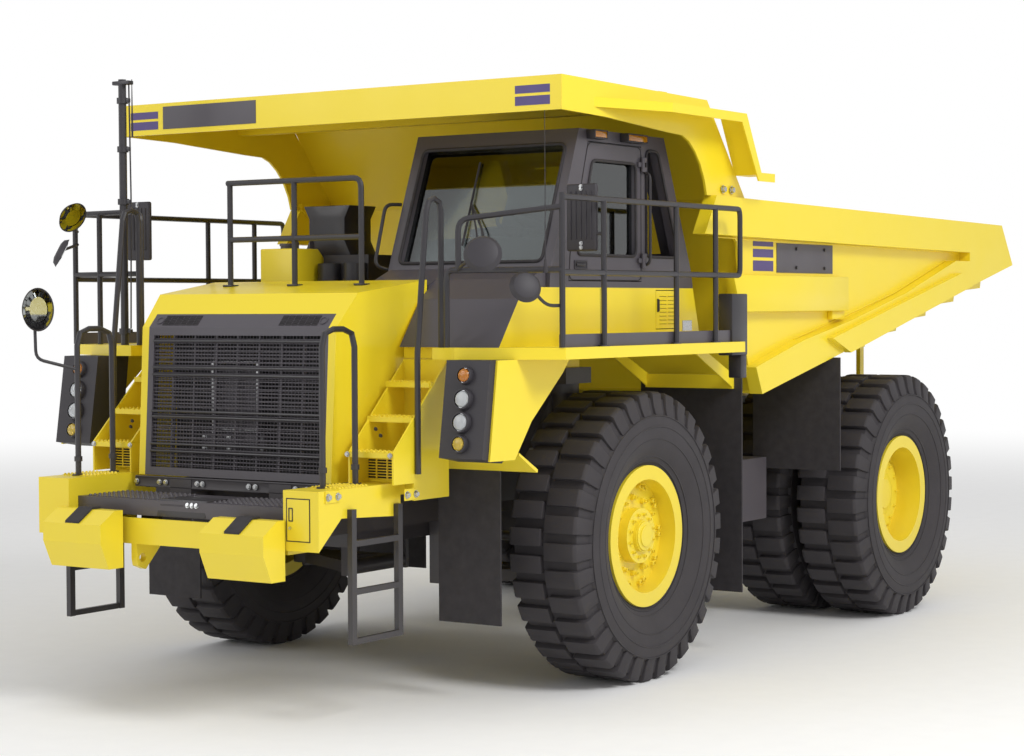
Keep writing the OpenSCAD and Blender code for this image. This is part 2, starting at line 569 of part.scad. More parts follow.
deck_low = deck_top - deck_t;
bumper_y = -bumper_reach;
eye_x = 400;
eye_y = bumper_y + 105;
module front_bumper() color(yellow) from_axle() {
    both_sides() {
        difference() {
            side_plate(bumper_in, bumper_half, [[bumper_y, 1200], [bumper_y, bumper_top], [-2100, bumper_top], [-2100, 1371], [-2750, 1405]]);
            side_plate(bumper_in + 12, bumper_half - 12, [[bumper_y + 12, 1190], [bumper_y + 12, bumper_top - 12], [-2088, bumper_top - 12], [-2088, 1360], [-2750, 1390]]);
        }
    }
    difference() {
        block([-bumper_in - 5, bumper_y + 40, 1165], [bumper_in + 5, -2700 - seat, 1345]);
        block([-rail_out - 40, bumper_y + 60, 1150], [rail_out + 40, -2600, 1400]);
    }
    block([-bumper_in - 5, bumper_y + 40, 1165], [bumper_in + 5, bumper_y + 62, 1345]);
    // towing eyes
    both_sides() difference() {
        side_plate(eye_x - 25, eye_x + 25, [[eye_y - 50, 1010], [eye_y + 30, 980], [eye_y + 230, 1180], [eye_y - 60, 1180], [eye_y - 60, 1060]]);
        pin_x(eye_x - 50, eye_x + 50, eye_y, 1065, 32);
    }
    block([-bumper_in - 5, bumper_y + 62, 1165], [bumper_in + 5, bumper_y + 260, 1190]);
}

module walkway() color(dark) from_axle() {
    flat_plate(1440, 1470, [[-bumper_in + seat, bumper_y + 90], [bumper_in - seat, bumper_y + 90], [bumper_in - seat, rail_front - seat],
        [-bumper_in + seat, rail_front - seat]]);
    block([-bumper_in + 5, bumper_y + 90, 1360], [bumper_in - 5, bumper_y + 102, 1441]);
    both_sides() block([600, bumper_y + 100, 1345 + seat], [640, bumper_y + 240, 1441]);
}

chock_x = 725;
module wheel_chocks() color(yellow) from_axle() both_sides()
    side_plate(chock_x - 275, chock_x + 275, [[bumper_y - 10, 1000], [bumper_y - 10, 1400], [bumper_y - 90, 1400], [-nose_reach, 1310],
        [-nose_reach, 1180], [bumper_y - 150, 1000]]);
module chock_straps() color(black) from_axle() both_sides()
    for (x = [chock_x - 200, chock_x + 170]) block([x, bumper_y - 10 + seat, 1100], [x + 30, bumper_y + 40 - seat, 1350]);

grille_low = [-2372, 1592];
grille_high = [-2310, 2658];
grille_top = [-2224, 2752];
hood_edge = [-2096, 2896];
hood_end = [-1400, 2990];
hood_outline = [grille_low, grille_high, grille_top, hood_edge, hood_end, [hood_end[0], 2300], [-1780, 2200], [-2060, grille_low[1]]];
module hood_form(inset) {
    intersection() {
        side_plate(-1200, 1200, inset == 0 ? hood_outline : [grille_low + [inset, -20], grille_high + [inset, -inset], grille_top + [inset, -inset],
            hood_edge + [inset, -inset], hood_end + [30, -inset], [hood_end[0] + 30, 2250], [-1760, 2150], [-2050, grille_low[1] - 20]]);
        flat_plate(1400, 3100, [[-hood_front_half + inset, -2400], [hood_front_half - inset, -2400], [hood_rear_half - inset, hood_end[0] + 40],
            [-hood_rear_half + inset, hood_end[0] + 40]]);
    }
}
module hood() color(yellow) from_axle() difference() {
    hood_form(0);
    hood_form(hood_t);
    block([-grille_half, -2500, grille_low[1] - 30], [grille_half, -2150, grille_top[1]]);
}
grille_lean = (grille_high[0] - grille_low[0]) / (grille_high[1] - grille_low[1]);
function gy(z) = grille_low[0] + (z - grille_low[1]) * grille_lean;
module grille() color(dark) from_axle() {
    g = grille_half - seat;
    both_sides() side_plate(g - 50, g, [[gy(1592), 1592], [gy(2658), 2658], [gy(2658) + 60, 2658], [gy(1592) + 60, 1592]]);
    for (z = [1592, 2600]) side_plate(-g, g, [[gy(z), z], [gy(z + 58), z + 58], [gy(z + 58) + 60, z + 58], [gy(z) + 60, z]]);
    for (i = [1:grille_rods]) let (z = 1650 + i * 950 / (grille_rods + 1)) pin_x(-g + 49, g - 49, gy(z) + 20, z, 6);
    for (x = [-600:200:600]) side_plate(x - 8, x + 8, [[gy(1649) + 20, 1649], [gy(2601) + 20, 2601], [gy(2601) + 50, 2601], [gy(1649) + 50, 1649]]);
    side_plate(-g, g, [[gy(2658), 2658], grille_top + [0, -seat], grille_top + [30, -seat], [gy(2658) + 60, 2658]]);
}
module radiator() color(black) from_axle() {
    block([-700, -2170, rail_top + seat], [700, -1950, 2620]);
    block([-250, -2250, 1930], [170, -2170, 2390]);
}

stair_in = hood_front_half + 120;
// treads: front edge along the truck, height
treads = [[-2330, 1812], [-2105, 2042], [-1890, 2274]];
stair_back = -1690;
module stairs() color(yellow) from_axle() both_sides() {
    for (x = [stair_in, stair_half - 14]) side_plate(x, x + 14, [[treads[0][0], bumper_top + seat], treads[0],
        [stair_back, deck_low - 5], [stair_back, bumper_top - 120], [-2100 + seat, bumper_top - 120], [-2100 + seat, bumper_top + seat]]);
    for (t = treads) block([stair_in + 5, t[0], t[1] - 30], [stair_half - 5, t[0] + 190, t[1]]);
    block([stair_in + 5, stair_back - 14, bumper_top - 120], [stair_half - 5, stair_back, deck_low - 5]);
}

module ladders() color(black) from_axle() both_sides() {
    for (y = [-2690, -2180]) block([bumper_half + seat, y, 560], [bumper_half + 40, y + 50, 1460]);
    for (z = [560, 890, 1210]) block([bumper_half + 10, -2690, z], [bumper_half + 40, -2130, z + 40]);
}

// ---- deck ----

flap_y = 1440;
base_front = -1740;

deck_outline = [[-1, hood_end[0] + seat], [hood_rear_half + seat, hood_end[0] + seat], [hood_rear_half + seat, stair_back + 5], [stair_half + 15, stair_back + 5],
    [stair_half + 15, -deck_front], [stair_half + 200, -deck_front], [deck_half, -1600], [deck_half, deck_rear], [-1, deck_rear]];
module deck() color(yellow) from_axle() both_sides() {
    flat_plate(deck_top - 8, deck_top, deck_outline);
    difference() {
        flat_plate(deck_low, deck_top - 7, deck_outline);
        flat_plate(deck_low - 10, deck_top, [[-20, hood_end[0] + 12], [hood_rear_half + 12, hood_end[0] + 12], [hood_rear_half + 12, stair_back + 17], [stair_half + 27, stair_back + 17],
            [stair_half + 27, 12 - deck_front], [stair_half + 195, 12 - deck_front], [deck_half - 12, -1594], [deck_half - 12, deck_rear - 12], [-20, deck_rear - 12]]);
    }
    block([rail_out + 20, -700, deck_low - 20], [rail_out + 80, 900, deck_top - 7]);
    // legs that stand on the frame's towers
    block([kingpin_x - 200, -90, tower_top + seat], [kingpin_x + 100, 90, deck_top - 7]);
    // hangers of the flaps behind the front wheels
    for (x = [1160, 1950]) side_plate(x, x + 12, [[780, deck_low + 5], [970, deck_low + 5], [flap_y - seat, 2240], [flap_y - seat, 2130]]);
    block([1160, flap_y - seat - 30, 2130], [1962, flap_y - seat, 2240]);
}
module toe_boards() color(dark) from_axle() both_sides()
    block([deck_half - 59 - seat, -1590, deck_top + seat], [deck_half - 49 - seat, 900, deck_top + 90]);
stair_post = base_front - 60;
rail_x = deck_half - 25;
rail_posts = [-1060, -40, 560];
module handrails() color(black) from_axle() {
    z0 = deck_top + seat;
    xs = stair_half + rail_d / 2 + seat;
    // rails along the deck edges
    both_sides() for (h = [rail_h / 2, rail_h])
        bent_bar([[rail_x, rail_posts[0] - 40, z0 + h], [rail_x, 900, z0 + h]], rail_d, 0);
    both_sides() for (y = rail_posts) {
        bent_bar([[rail_x, y, z0], [rail_x, y, z0 + rail_h]], rail_d, 0);
        post_foot([rail_x, y, z0], [0, 30, 0]);
    }
    both_sides() for (y = [-2750, -2400]) post_foot([1120, y, bumper_top + seat], [0, 30, 0]);
    both_sides() bent_bar([[1120, -2750, bumper_top + seat], [1120, -2750, 2650], [1120, -2400, 2650], [1120, -2400, bumper_top + seat]], rail_d, 120);
    both_sides() bent_bar([[xs, -2080, bumper_top + 60], [xs, -2080, 2500], [xs, -1960, z0 + rail_h],
        [xs, stair_post, z0 + rail_h], [xs, stair_post, z0]], rail_d, 80);
}

module lamp_pods() color(dark) from_axle() both_sides()
    side_plate(1620, 1975 - seat, [pod_top, pod_low, [-1900, 1740], [-1780, 1800], [-1700, pod_top[1]]]);
// lamps: height, radius
lamp_table = [[2333, 50], [2174, 60], [2019, 60], [1875, 50]];
pod_top = [-2030, deck_low - seat];
pod_low = [-2130, 1780];
pod_lean = atan2(pod_top[1] - pod_low[1], pod_top[0] - pod_low[0]);
module lamps() color("white") from_axle() both_sides() for (l = lamp_table)
    translate([1790, pod_top[0] - (pod_top[1] - l[0]) / tan(pod_lean), l[0]]) rotate([pod_lean, 0, 0])
        translate([0, 0, seat]) cylinder(r = l[1], h = 25);
module fenders() color(yellow) from_axle() both_sides() {
    side_plate(1975, 1990, [[-1960, deck_low - seat], [-2060, 1760], [-1760, 1755], [-1550, 2010], [-1150, 2330], [-1050, deck_low - seat]]);
    // sheet that carries the flap ahead of the front wheel
    side_plate(1130, 1976, [[stair_back + seat, 1800], [stair_back + seat, 1780], [-flap_y - 26 - seat, 1650],
        [-flap_y - 16 - seat, 1650], [-flap_y - 16 - seat, 1672]]);
}
module mud_flaps() color(black) from_axle() both_sides() {
    block([1130, -flap_y - 16, 560], [1660, -flap_y, 1660]);
    block([1100, flap_y, 500], [2030, flap_y + 16, 2240]);
}

// ---- cab ----

hatch = [[390, 2615], [720, 2915]];
hatch_gap = 6;

cab_outline = [[-1100, cab_floor], [-1085, 3075], [-700, cab_top], [520, cab_top], [946, 3048], [970, cab_floor]];
door_outline = [[-850, 2975], [-835, 3170], [-580, 3990], [176, 3990], [176, 2975]];
module cab_shell() color(dark) from_axle() {
    for (z = door_hinges) hinge_fixed(door_pin, z, 16, 60);
    shell_walls();
}
module shell_walls() difference() {
    side_plate(cab_right, cab_left, cab_outline);
    side_plate(cab_right + cab_wall, cab_left - cab_wall, [[-1030, cab_floor + 50], [-1010, 3085], [-650, cab_top - cab_wall], [475, cab_top - cab_wall], [880, 3048], [900, cab_floor + 50]]);
    // door and side windows
    side_plate(cab_left - cab_wall - 20, cab_left + 20, door_outline);
    side_plate(cab_right - 20, cab_right + cab_wall + 20, [[-820, 3170], [-560, 3960], [400, 3960], [740, 3170]]);
    side_plate(cab_left - cab_wall - 20, cab_left + 20, [[250, 3170], [250, 3960], [420, 3960], [740, 3170]]);
    // windscreen and rear window
    front_plate(-1300, -600, [[cab_right + 90, 3120], [cab_left - 90, 3120], [cab_left - 90, 3960], [cab_right + 90, 3960]]);
    front_plate(300, 1200, [[cab_right + 200, 3200], [cab_left - 200, 3200], [cab_left - 200, 3900], [cab_right + 200, 3900]]);
}
module cab_glass() color("lightblue") from_axle() {
    lean = (1085 - 700) / (cab_top - 3075);
    side_plate(cab_right + 90 + seat, cab_left - 90 - seat, [[-1030 + 45 * lean, 3122], [-1030 + 45 * lean + glass_t, 3122], [-1030 + 883 * lean + glass_t, 3958], [-1030 + 883 * lean, 3958]]);
}
// hinges of a door on the cab's left: pin place, foot of each hinge, leaf's reach to each side
door_pin = [cab_left + 17, 173];
hatch_pin = [cab_left + 10, hatch[1][0] - hatch_gap / 2];
leaf_h = 36;
// the fixed half of a hinge: two knuckles, their leaf and the pin
module hinge_fixed(pin, z, r, reach) {
    for (k = [0, 2]) {
        translate([pin[0], pin[1], z + k * leaf_h]) cylinder(r = r, h = leaf_h);
        block([cab_left - 1, pin[1], z + k * leaf_h], [pin[0], pin[1] + reach, z + (k + 1) * leaf_h]);
    }
    translate([pin[0], pin[1], z]) cylinder(r = r / 2, h = 3 * leaf_h);
}
// the moving half: one knuckle between them, with its leaf
module hinge_moving(pin, z, r, reach) difference() {
    union() {
        translate([pin[0], pin[1], z + leaf_h + 1]) cylinder(r = r, h = leaf_h - 2);
        block([cab_left - 1, pin[1] - reach, z + leaf_h + 1], [pin[0], pin[1], z + 2 * leaf_h - 1]);
    }
    translate([pin[0], pin[1], z]) cylinder(r = r / 2 + pin_clear, h = 3 * leaf_h);
}
door_hinges = [3080, 3800];
hatch_hinges = [2640, 2790];
module cab_door() color(dark) from_axle() {
    for (z = door_hinges) hinge_moving(door_pin, z, 16, 60);
    door_leaf();
}
module door_leaf() difference() {
    side_plate(cab_left - cab_wall + 10, cab_left, [[-842, 2981], [-828, 3170], [-575, 3984], [170, 3984], [170, 2981]]);
    side_plate(cab_left - cab_wall, cab_left + 10, [[-730, 3170], [-520, 3850], [90, 3850], [90, 3170]]);
}
module door_glass() color("lightblue") from_axle()
    side_plate(cab_left - 40, cab_left - 40 + glass_t, [[-729.5, 3170 + seat], [-519.5, 3850 - seat], [90 - seat, 3850 - seat], [90 - seat, 3170 + seat]]);
base_in = hood_rear_half + seat;
base_outer = [[base_front, deck_top + seat], [-1490, 2850], [-1250, cab_floor - seat], [970, cab_floor - seat], [1090, deck_top + seat]];
base_inner = [[base_front + 20, deck_top - 10], [-1480, 2836], [-1250, cab_floor - 14], [956, cab_floor - 14], [1070, deck_top - 10]];
module cab_base() color(yellow) from_axle() {
    for (z = hatch_hinges) hinge_fixed(hatch_pin, z, 9, 30);
    base_panels();
}
module base_panels() difference() {
    side_plate(cab_right, cab_left, base_outer);
    difference() {
        side_plate(cab_right + 14, cab_left - 14, base_inner);
        block([0, -1800, 2400], [base_in + 14, hood_end[0] + 22, 3000]);
    }
    block([0, -1800, 2400], [base_in, hood_end[0] + seat, 3000]);
    block([cab_left - 30, hatch[0][0], hatch[0][1]], [cab_left + 10, hatch[1][0], hatch[1][1]]);
}
module cab_cowl() color(dark) from_axle() {
    side_plate(base_in, cab_left - 30, [[-1250, cab_floor], [-1490, 2850 + seat], [-1300, 2990], [-1105, 3070], [-1105, cab_floor]]);
    side_plate(cab_right + 30, base_in + 1, [[-1250, cab_floor], [-1388, 2885], [-1388, 2950], [-1300, 2990], [-1105, 3070], [-1105, cab_floor]]);
}
module access_door() color(yellow) from_axle() {
    g = hatch_gap;
    block([cab_left - 14, hatch[0][0] + g, hatch[0][1] + g], [cab_left, hatch[1][0] - g, hatch[1][1] - g]);
    for (z = hatch_hinges) hinge_moving(hatch_pin, z, 9, 30);
}
module operator_seats() color(black) from_axle()
    for (x = [1300, 760]) {
        block([x - 230, -250, cab_floor + 50 + seat], [x + 230, 250, 3420]);
        side_plate(x - 220, x + 220, [[180, 3420], [250, 3420], [400, 3900], [300, 3900]]);
    }
module control_console() color(black) from_axle() {
    side_plate(cab_right + cab_wall + 20, cab_left - cab_wall - 20, [[-1000, cab_floor + 50 + seat], [-960, 3150], [-820, 3300], [-700, 3250], [-760, cab_floor + 50 + seat]]);
    translate([1300, -600, 3380]) rotate([-30, 0, 0]) {
        rotate_extrude() translate([200, 0]) circle(r = 15);
        bar([-200, 0, 0], [200, 0, 0], 18);
        bar([0, -200, 0], [0, 0, 0], 18);
    }
    bar([1300, -800, 3180], [1300, -612, 3368], 54);
}

module air_cleaner() color(black) from_axle() {
    block([-500, -700, deck_top + seat], [-60, -200, 3200]);
}
module oil_tank() color(yellow) from_axle() block([-880, -1010, deck_top + seat], [-530, -600, 3250]);
module mirrors() color(black) from_axle() {
    block([rail_x - 215, rail_posts[0] - 15, deck_top + 665], [rail_x - 55, rail_posts[0] + 15, deck_top + 1135]);
    pin_x(rail_x - 100, rail_x - rail_d / 2 - seat, rail_posts[0], deck_top + 785, 14);
}
module camera_mast() color(black) from_axle() {
    bar([-1600, -1760, deck_top + 12 + seat], [-1600, -1760, 4530], 60);
}
module fuel_tank() color(dark) from_axle() block(tank_low, tank_high);

frame();
engine();
driveline();
radiator();
front_bumper();
walkway();
wheel_chocks();
chock_straps();
grille();
hood();
stairs();
ladders();
deck();
toe_boards();
handrails();
lamp_pods();
lamps();
fenders();
mud_flaps();
cab_shell();
cab_glass();
cab_base();
cab_cowl();
operator_seats();
control_console();
air_cleaner();
oil_tank();
mirrors();
camera_mast();
fuel_tank();
front_suspension();
rear_axle();
rear_suspension();
knuckle_left();
knuckle_right();
tie_rod();
front_rim_left();
front_rim_right();
front_tyre_left();
front_tyre_right();
rear_rims_left();
rear_rims_right();
rear_tyres_left();
rear_tyres_right();
dump_body();
canopy();
rock_ejectors();
body_guards();
hoist_barrel_left();
hoist_barrel_right();
hoist_sleeve_left();
hoist_sleeve_right();
hoist_rod_left();
hoist_rod_right();
cab_door();
door_glass();
access_door();
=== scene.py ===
import math

import bpy
from mathutils import Matrix, Vector


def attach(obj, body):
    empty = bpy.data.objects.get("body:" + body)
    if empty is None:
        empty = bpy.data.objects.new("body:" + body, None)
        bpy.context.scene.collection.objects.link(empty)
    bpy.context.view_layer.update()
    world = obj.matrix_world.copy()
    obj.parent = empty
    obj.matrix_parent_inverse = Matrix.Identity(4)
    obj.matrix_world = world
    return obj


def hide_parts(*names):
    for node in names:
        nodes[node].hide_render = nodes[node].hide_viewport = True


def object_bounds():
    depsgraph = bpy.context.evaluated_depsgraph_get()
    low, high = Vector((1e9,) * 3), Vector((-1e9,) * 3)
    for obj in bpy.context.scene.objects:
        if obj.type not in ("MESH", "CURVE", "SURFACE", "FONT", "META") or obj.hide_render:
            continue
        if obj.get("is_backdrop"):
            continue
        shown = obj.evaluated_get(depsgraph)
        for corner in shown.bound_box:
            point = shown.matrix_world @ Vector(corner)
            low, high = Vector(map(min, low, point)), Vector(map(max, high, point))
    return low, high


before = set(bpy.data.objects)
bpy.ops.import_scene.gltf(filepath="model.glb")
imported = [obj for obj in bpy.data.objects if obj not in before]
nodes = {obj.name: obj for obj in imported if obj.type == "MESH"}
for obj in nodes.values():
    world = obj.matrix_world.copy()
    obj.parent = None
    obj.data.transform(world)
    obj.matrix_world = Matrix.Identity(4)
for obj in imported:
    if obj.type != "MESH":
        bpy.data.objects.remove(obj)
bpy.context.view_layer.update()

# ---- the yard: floor, sky light and camera ----
# A plain pale floor under a bright, even sky, with the sun softened by thin cloud. The
# camera stands off the truck's front left corner at a person's height on a low bank.

FRONT_AXLE_Y = -1.942


def to_linear(colour):
    """The linear RGBA of an sRGB hex colour."""
    parts = [int(colour[i:i + 2], 16) / 255 for i in (1, 3, 5)]
    return [c / 12.92 if c <= 0.04045 else ((c + 0.055) / 1.055) ** 2.4 for c in parts] + [1.0]


def add_node(material, kind, settings, inputs):
    """Adds a shader node, with its settings, and its inputs as values or as links."""
    node = material.node_tree.nodes.new(kind)
    for name, value in settings.items():
        setattr(node, name, value)
    for name, value in inputs.items():
        if isinstance(value, bpy.types.NodeSocket):
            material.node_tree.links.new(value, node.inputs[name])
        else:
            node.inputs[name].default_value = value
    return node


def new_finish(name):
    material = bpy.data.materials.new(name)
    material.use_nodes = True
    material.node_tree.nodes.clear()
    return material


# pale concrete, swept and dry: almost white, with faint mottling a hand across
pale_floor = new_finish("swept pale concrete")
place = add_node(pale_floor, "ShaderNodeTexCoord", {}, {}).outputs["Object"]
mottle = add_node(pale_floor, "ShaderNodeTexNoise", {}, {"Vector": place, "Scale": 5.0, "Detail": 3.0})
tone = add_node(pale_floor, "ShaderNodeMix", {"data_type": "RGBA"}, {
    0: mottle.outputs["Fac"], 6: to_linear("#f7f7f7"), 7: to_linear("#fdfdfd")})
shader = add_node(pale_floor, "ShaderNodeBsdfPrincipled", {},
    {"Base Color": tone.outputs[2], "Roughness": 0.85})
# the concrete fades into the bright sky between 11 and 32 m away
reach = add_node(pale_floor, "ShaderNodeVectorMath", {"operation": "LENGTH"}, {0: place})
haze = add_node(pale_floor, "ShaderNodeMapRange", {"interpolation_type": "SMOOTHSTEP"}, {
    "Value": reach.outputs["Value"], "From Min": 11.0, "From Max": 32.0})
glow = add_node(pale_floor, "ShaderNodeEmission", {}, {"Color": to_linear("#ffffff"), "Strength": 1.0})
ground = add_node(pale_floor, "ShaderNodeMixShader", {},
    {0: haze.outputs[0], 1: shader.outputs[0], 2: glow.outputs[0]})
add_node(pale_floor, "ShaderNodeOutputMaterial", {}, {"Surface": ground.outputs[0]})
bpy.ops.object.select_all(action="DESELECT")
bpy.ops.mesh.primitive_plane_add(size=400, location=(0, 0, -0.001))
floor = bpy.context.object
floor.name = "yard_floor"
floor.data.materials.append(pale_floor)
floor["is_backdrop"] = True

sky = bpy.data.worlds.new("bright even sky")
sky.use_nodes = True
# the camera sees the cloud a little brighter than it lights the truck
sky_nodes = sky.node_tree.nodes
path = sky_nodes.new("ShaderNodeLightPath")
level = sky_nodes.new("ShaderNodeMapRange")
level.inputs["To Min"].default_value, level.inputs["To Max"].default_value = 0.66, 1.0
sky.node_tree.links.new(path.outputs["Is Camera Ray"], level.inputs["Value"])
sky.node_tree.links.new(level.outputs[0], sky_nodes["Background"].inputs["Strength"])
sky_nodes["Background"].inputs["Color"].default_value = to_linear("#ffffff")
bpy.context.scene.world = sky
bpy.context.scene.view_settings.view_transform = "Standard"


def add_area_light(name, place, aim, size, power):
    bpy.ops.object.light_add(type="AREA", location=place)
    light = bpy.context.object
    light.name = name
    light.data.shape = "DISK"
    light.data.size = size
    light.data.energy = power
    light.rotation_euler = (Vector(aim) - Vector(place)).to_track_quat("-Z", "Y").to_euler()


add_area_light("sun_through_cloud", (14, -6, 13), (0, 0, 1.8), 6, 1500)
add_area_light("front_fill", (-9, -16, 9), (0, -2, 2), 8, 420)

bpy.ops.object.camera_add()
camera = bpy.context.object
camera.matrix_world = (Matrix.Translation((10.2323, -14.1072 + FRONT_AXLE_Y, 2.8))
                       @ Matrix.Rotation(0.5852, 4, "Z") @ Matrix.Rotation(math.pi / 2 - 0.0328, 4, "X")
                       @ Matrix.Rotation(-0.005, 4, "Z"))
camera.data.sensor_width = 36
camera.data.lens = 77.15
camera.data.shift_x = -0.0098
camera.data.shift_y = -0.0002
camera.data.clip_end = 300
bpy.context.scene.camera = camera

# ---- the enamels ----
# Two-pack enamel sprayed on plate and castings: yellow on the sheet work, dark grey on the
# chassis, the cab and the walkways, black on the rails. Road dust dulls it low down.


def enamel(name, colour, dust_colour, roughness):
    """Sprayed enamel with orange peel and a film of dust that thins out with height."""
    material = new_finish(name)
    place = add_node(material, "ShaderNodeTexCoord", {}, {}).outputs["Object"]
    # clouds of dust about 0.4 m across
    cloud = add_node(material, "ShaderNodeTexNoise", {},
        {"Vector": place, "Scale": 2.5, "Detail": 6.0, "Roughness": 0.6})
    height = add_node(material, "ShaderNodeSeparateXYZ", {}, {"Vector": place}).outputs["Z"]
    low = add_node(material, "ShaderNodeMapRange", {},
        {"Value": height, "From Min": 0.3, "From Max": 2.6, "To Min": 0.22, "To Max": 0.03})
    dust = add_node(material, "ShaderNodeMath", {"operation": "MULTIPLY"},
        {0: cloud.outputs["Fac"], 1: low.outputs[0]})
    tone = add_node(material, "ShaderNodeMix", {"data_type": "RGBA"}, {
        0: dust.outputs[0], 6: to_linear(colour), 7: to_linear(dust_colour)})
    shine = add_node(material, "ShaderNodeMapRange", {}, {
        "Value": cloud.outputs["Fac"], "From Min": 0.3, "From Max": 0.7, "To Min": roughness - 0.05, "To Max": roughness + 0.10})
    # orange peel, drawn 8 mm across so that it shows
    peel = add_node(material, "ShaderNodeTexNoise", {}, {"Vector": place, "Scale": 120.0, "Detail": 1.0})
    relief = add_node(material, "ShaderNodeBump", {},
        {"Height": peel.outputs["Fac"], "Strength": 0.04, "Distance": 0.002})
    shader = add_node(material, "ShaderNodeBsdfPrincipled", {}, {
        "Base Color": tone.outputs[2], "Roughness": shine.outputs[0], "Normal": relief.outputs[0],
        "IOR": 1.5, "Coat Weight": 0.15, "Coat Roughness": 0.12})
    add_node(material, "ShaderNodeOutputMaterial", {}, {"Surface": shader.outputs[0]})
    return material


yellow_enamel = enamel("yellow plant enamel", "#f1d824", "#c9b98c", 0.34)
grey_enamel = enamel("dark grey enamel", "#4c484f", "#8d857b", 0.42)
chassis_enamel = enamel("chassis grey enamel", "#3b383d", "#8d857b", 0.48)
black_enamel = enamel("black rail enamel", "#2c2a2f", "#7d766d", 0.38)


# the cab's base is yellow along its sides, with its front plates in the cab's dark grey
base_enamel = enamel("cab base enamel", "#f1d824", "#c9b98c", 0.34)
paint = next(node for node in base_enamel.node_tree.nodes if node.bl_idname == "ShaderNodeBsdfPrincipled")
facing = add_node(base_enamel, "ShaderNodeNewGeometry", {}, {}).outputs["True Normal"]
forward = add_node(base_enamel, "ShaderNodeSeparateXYZ", {}, {"Vector": facing}).outputs["Y"]
front_part = add_node(base_enamel, "ShaderNodeMath", {"operation": "LESS_THAN"}, {0: forward, 1: -0.3})
two_tone = add_node(base_enamel, "ShaderNodeMix", {"data_type": "RGBA"}, {
    0: front_part.outputs[0], 6: paint.inputs["Base Color"].links[0].from_socket, 7: to_linear("#4c484f")})
base_enamel.node_tree.links.new(two_tone.outputs[2], paint.inputs["Base Color"])


def finish_nodes(material, *names):
    for name in names:
        for place_ in nodes[name].material_slots:
            place_.material = material


finish_nodes(yellow_enamel, "front_bumper", "wheel_chocks", "hood", "stairs", "deck", "fenders", "oil_tank",
             "front_rim_left", "front_rim_right", "rear_rims_left", "rear_rims_right", "dump_body", "canopy",
             "rock_ejectors", "access_door")
finish_nodes(base_enamel, "cab_base")
finish_nodes(grey_enamel, "walkway", "grille", "toe_boards", "cab_shell", "cab_cowl", "fuel_tank",
    "cab_door")
finish_nodes(chassis_enamel, "frame", "engine", "driveline", "front_suspension", "rear_axle",
    "rear_suspension",
             "knuckle_left", "knuckle_right", "tie_rod", "hoist_barrel_left", "hoist_barrel_right")
finish_nodes(black_enamel, "ladders", "handrails", "camera_mast")

# ---- rubber, plastic, glass and chrome on the plain pieces ----
# Reinforced black rubber flaps and straps, grained black mouldings, laminated glass and
# hard-chromed hoist rods.

# the same black rubber finish also fills the stair vent, the access door's louvre slots and the grille
# band's louvre cells as painted shade
black_rubber_and_shade = new_finish("black flap rubber and painted shade")
place = add_node(black_rubber_and_shade, "ShaderNodeTexCoord", {}, {}).outputs["Object"]
scuff = add_node(black_rubber_and_shade, "ShaderNodeTexNoise", {}, {"Vector": place, "Scale": 14.0, "Detail": 8.0})
tone = add_node(black_rubber_and_shade, "ShaderNodeMix", {"data_type": "RGBA"}, {
    0: scuff.outputs["Fac"], 6: to_linear("#222023"), 7: to_linear("#3d393c")})
relief = add_node(black_rubber_and_shade, "ShaderNodeBump", {},
    {"Height": scuff.outputs["Fac"], "Strength": 0.2, "Distance": 0.004})
shader = add_node(black_rubber_and_shade, "ShaderNodeBsdfPrincipled", {}, {
    "Base Color": tone.outputs[2], "Roughness": 0.75, "Normal": relief.outputs[0]})
add_node(black_rubber_and_shade, "ShaderNodeOutputMaterial", {}, {"Surface": shader.outputs[0]})

dark_moulding = new_finish("grained black moulding")
place = add_node(dark_moulding, "ShaderNodeTexCoord", {}, {}).outputs["Object"]
# leather grain of the mould, drawn 5 mm across so that it shows
grain = add_node(dark_moulding, "ShaderNodeTexVoronoi", {}, {"Vector": place, "Scale": 200.0})
relief = add_node(dark_moulding, "ShaderNodeBump", {},
    {"Height": grain.outputs["Distance"], "Strength": 0.15, "Distance": 0.001})
shader = add_node(dark_moulding, "ShaderNodeBsdfPrincipled", {}, {
    "Base Color": to_linear("#343136"), "Roughness": 0.55, "Normal": relief.outputs[0]})
add_node(dark_moulding, "ShaderNodeOutputMaterial", {}, {"Surface": shader.outputs[0]})

# thin laminated panes: a light grey tint to look through and a clear sheen of the sky on top
cab_glazing = new_finish("laminated cab glazing")
edge = add_node(cab_glazing, "ShaderNodeFresnel", {}, {"IOR": 1.5})
sheen = add_node(cab_glazing, "ShaderNodeMath", {"operation": "ADD"}, {0: edge.outputs[0], 1: 0.10})
through = add_node(cab_glazing, "ShaderNodeBsdfTransparent", {}, {"Color": to_linear("#c3caca")})
mirrored = add_node(cab_glazing, "ShaderNodeBsdfGlossy", {},
    {"Color": to_linear("#f4f7f8"), "Roughness": 0.03})
pane_mix = add_node(cab_glazing, "ShaderNodeMixShader", {},
    {0: sheen.outputs[0], 1: through.outputs[0], 2: mirrored.outputs[0]})
add_node(cab_glazing, "ShaderNodeOutputMaterial", {}, {"Surface": pane_mix.outputs[0]})

hard_chrome = new_finish("hard chromed rod")
shader = add_node(hard_chrome, "ShaderNodeBsdfPrincipled", {}, {
    "Base Color": to_linear("#c8c9cc"), "Metallic": 1.0, "Roughness": 0.14})
add_node(hard_chrome, "ShaderNodeOutputMaterial", {}, {"Surface": shader.outputs[0]})

finish_nodes(black_rubber_and_shade, "mud_flaps", "chock_straps", "body_guards", "operator_seats", "front_tyre_left",
             "front_tyre_right", "rear_tyres_left", "rear_tyres_right")
finish_nodes(dark_moulding, "lamp_pods", "control_console", "air_cleaner", "mirrors")
finish_nodes(cab_glazing, "cab_glass", "door_glass")
finish_nodes(hard_chrome, "hoist_sleeve_left", "hoist_sleeve_right", "hoist_rod_left", "hoist_rod_right")

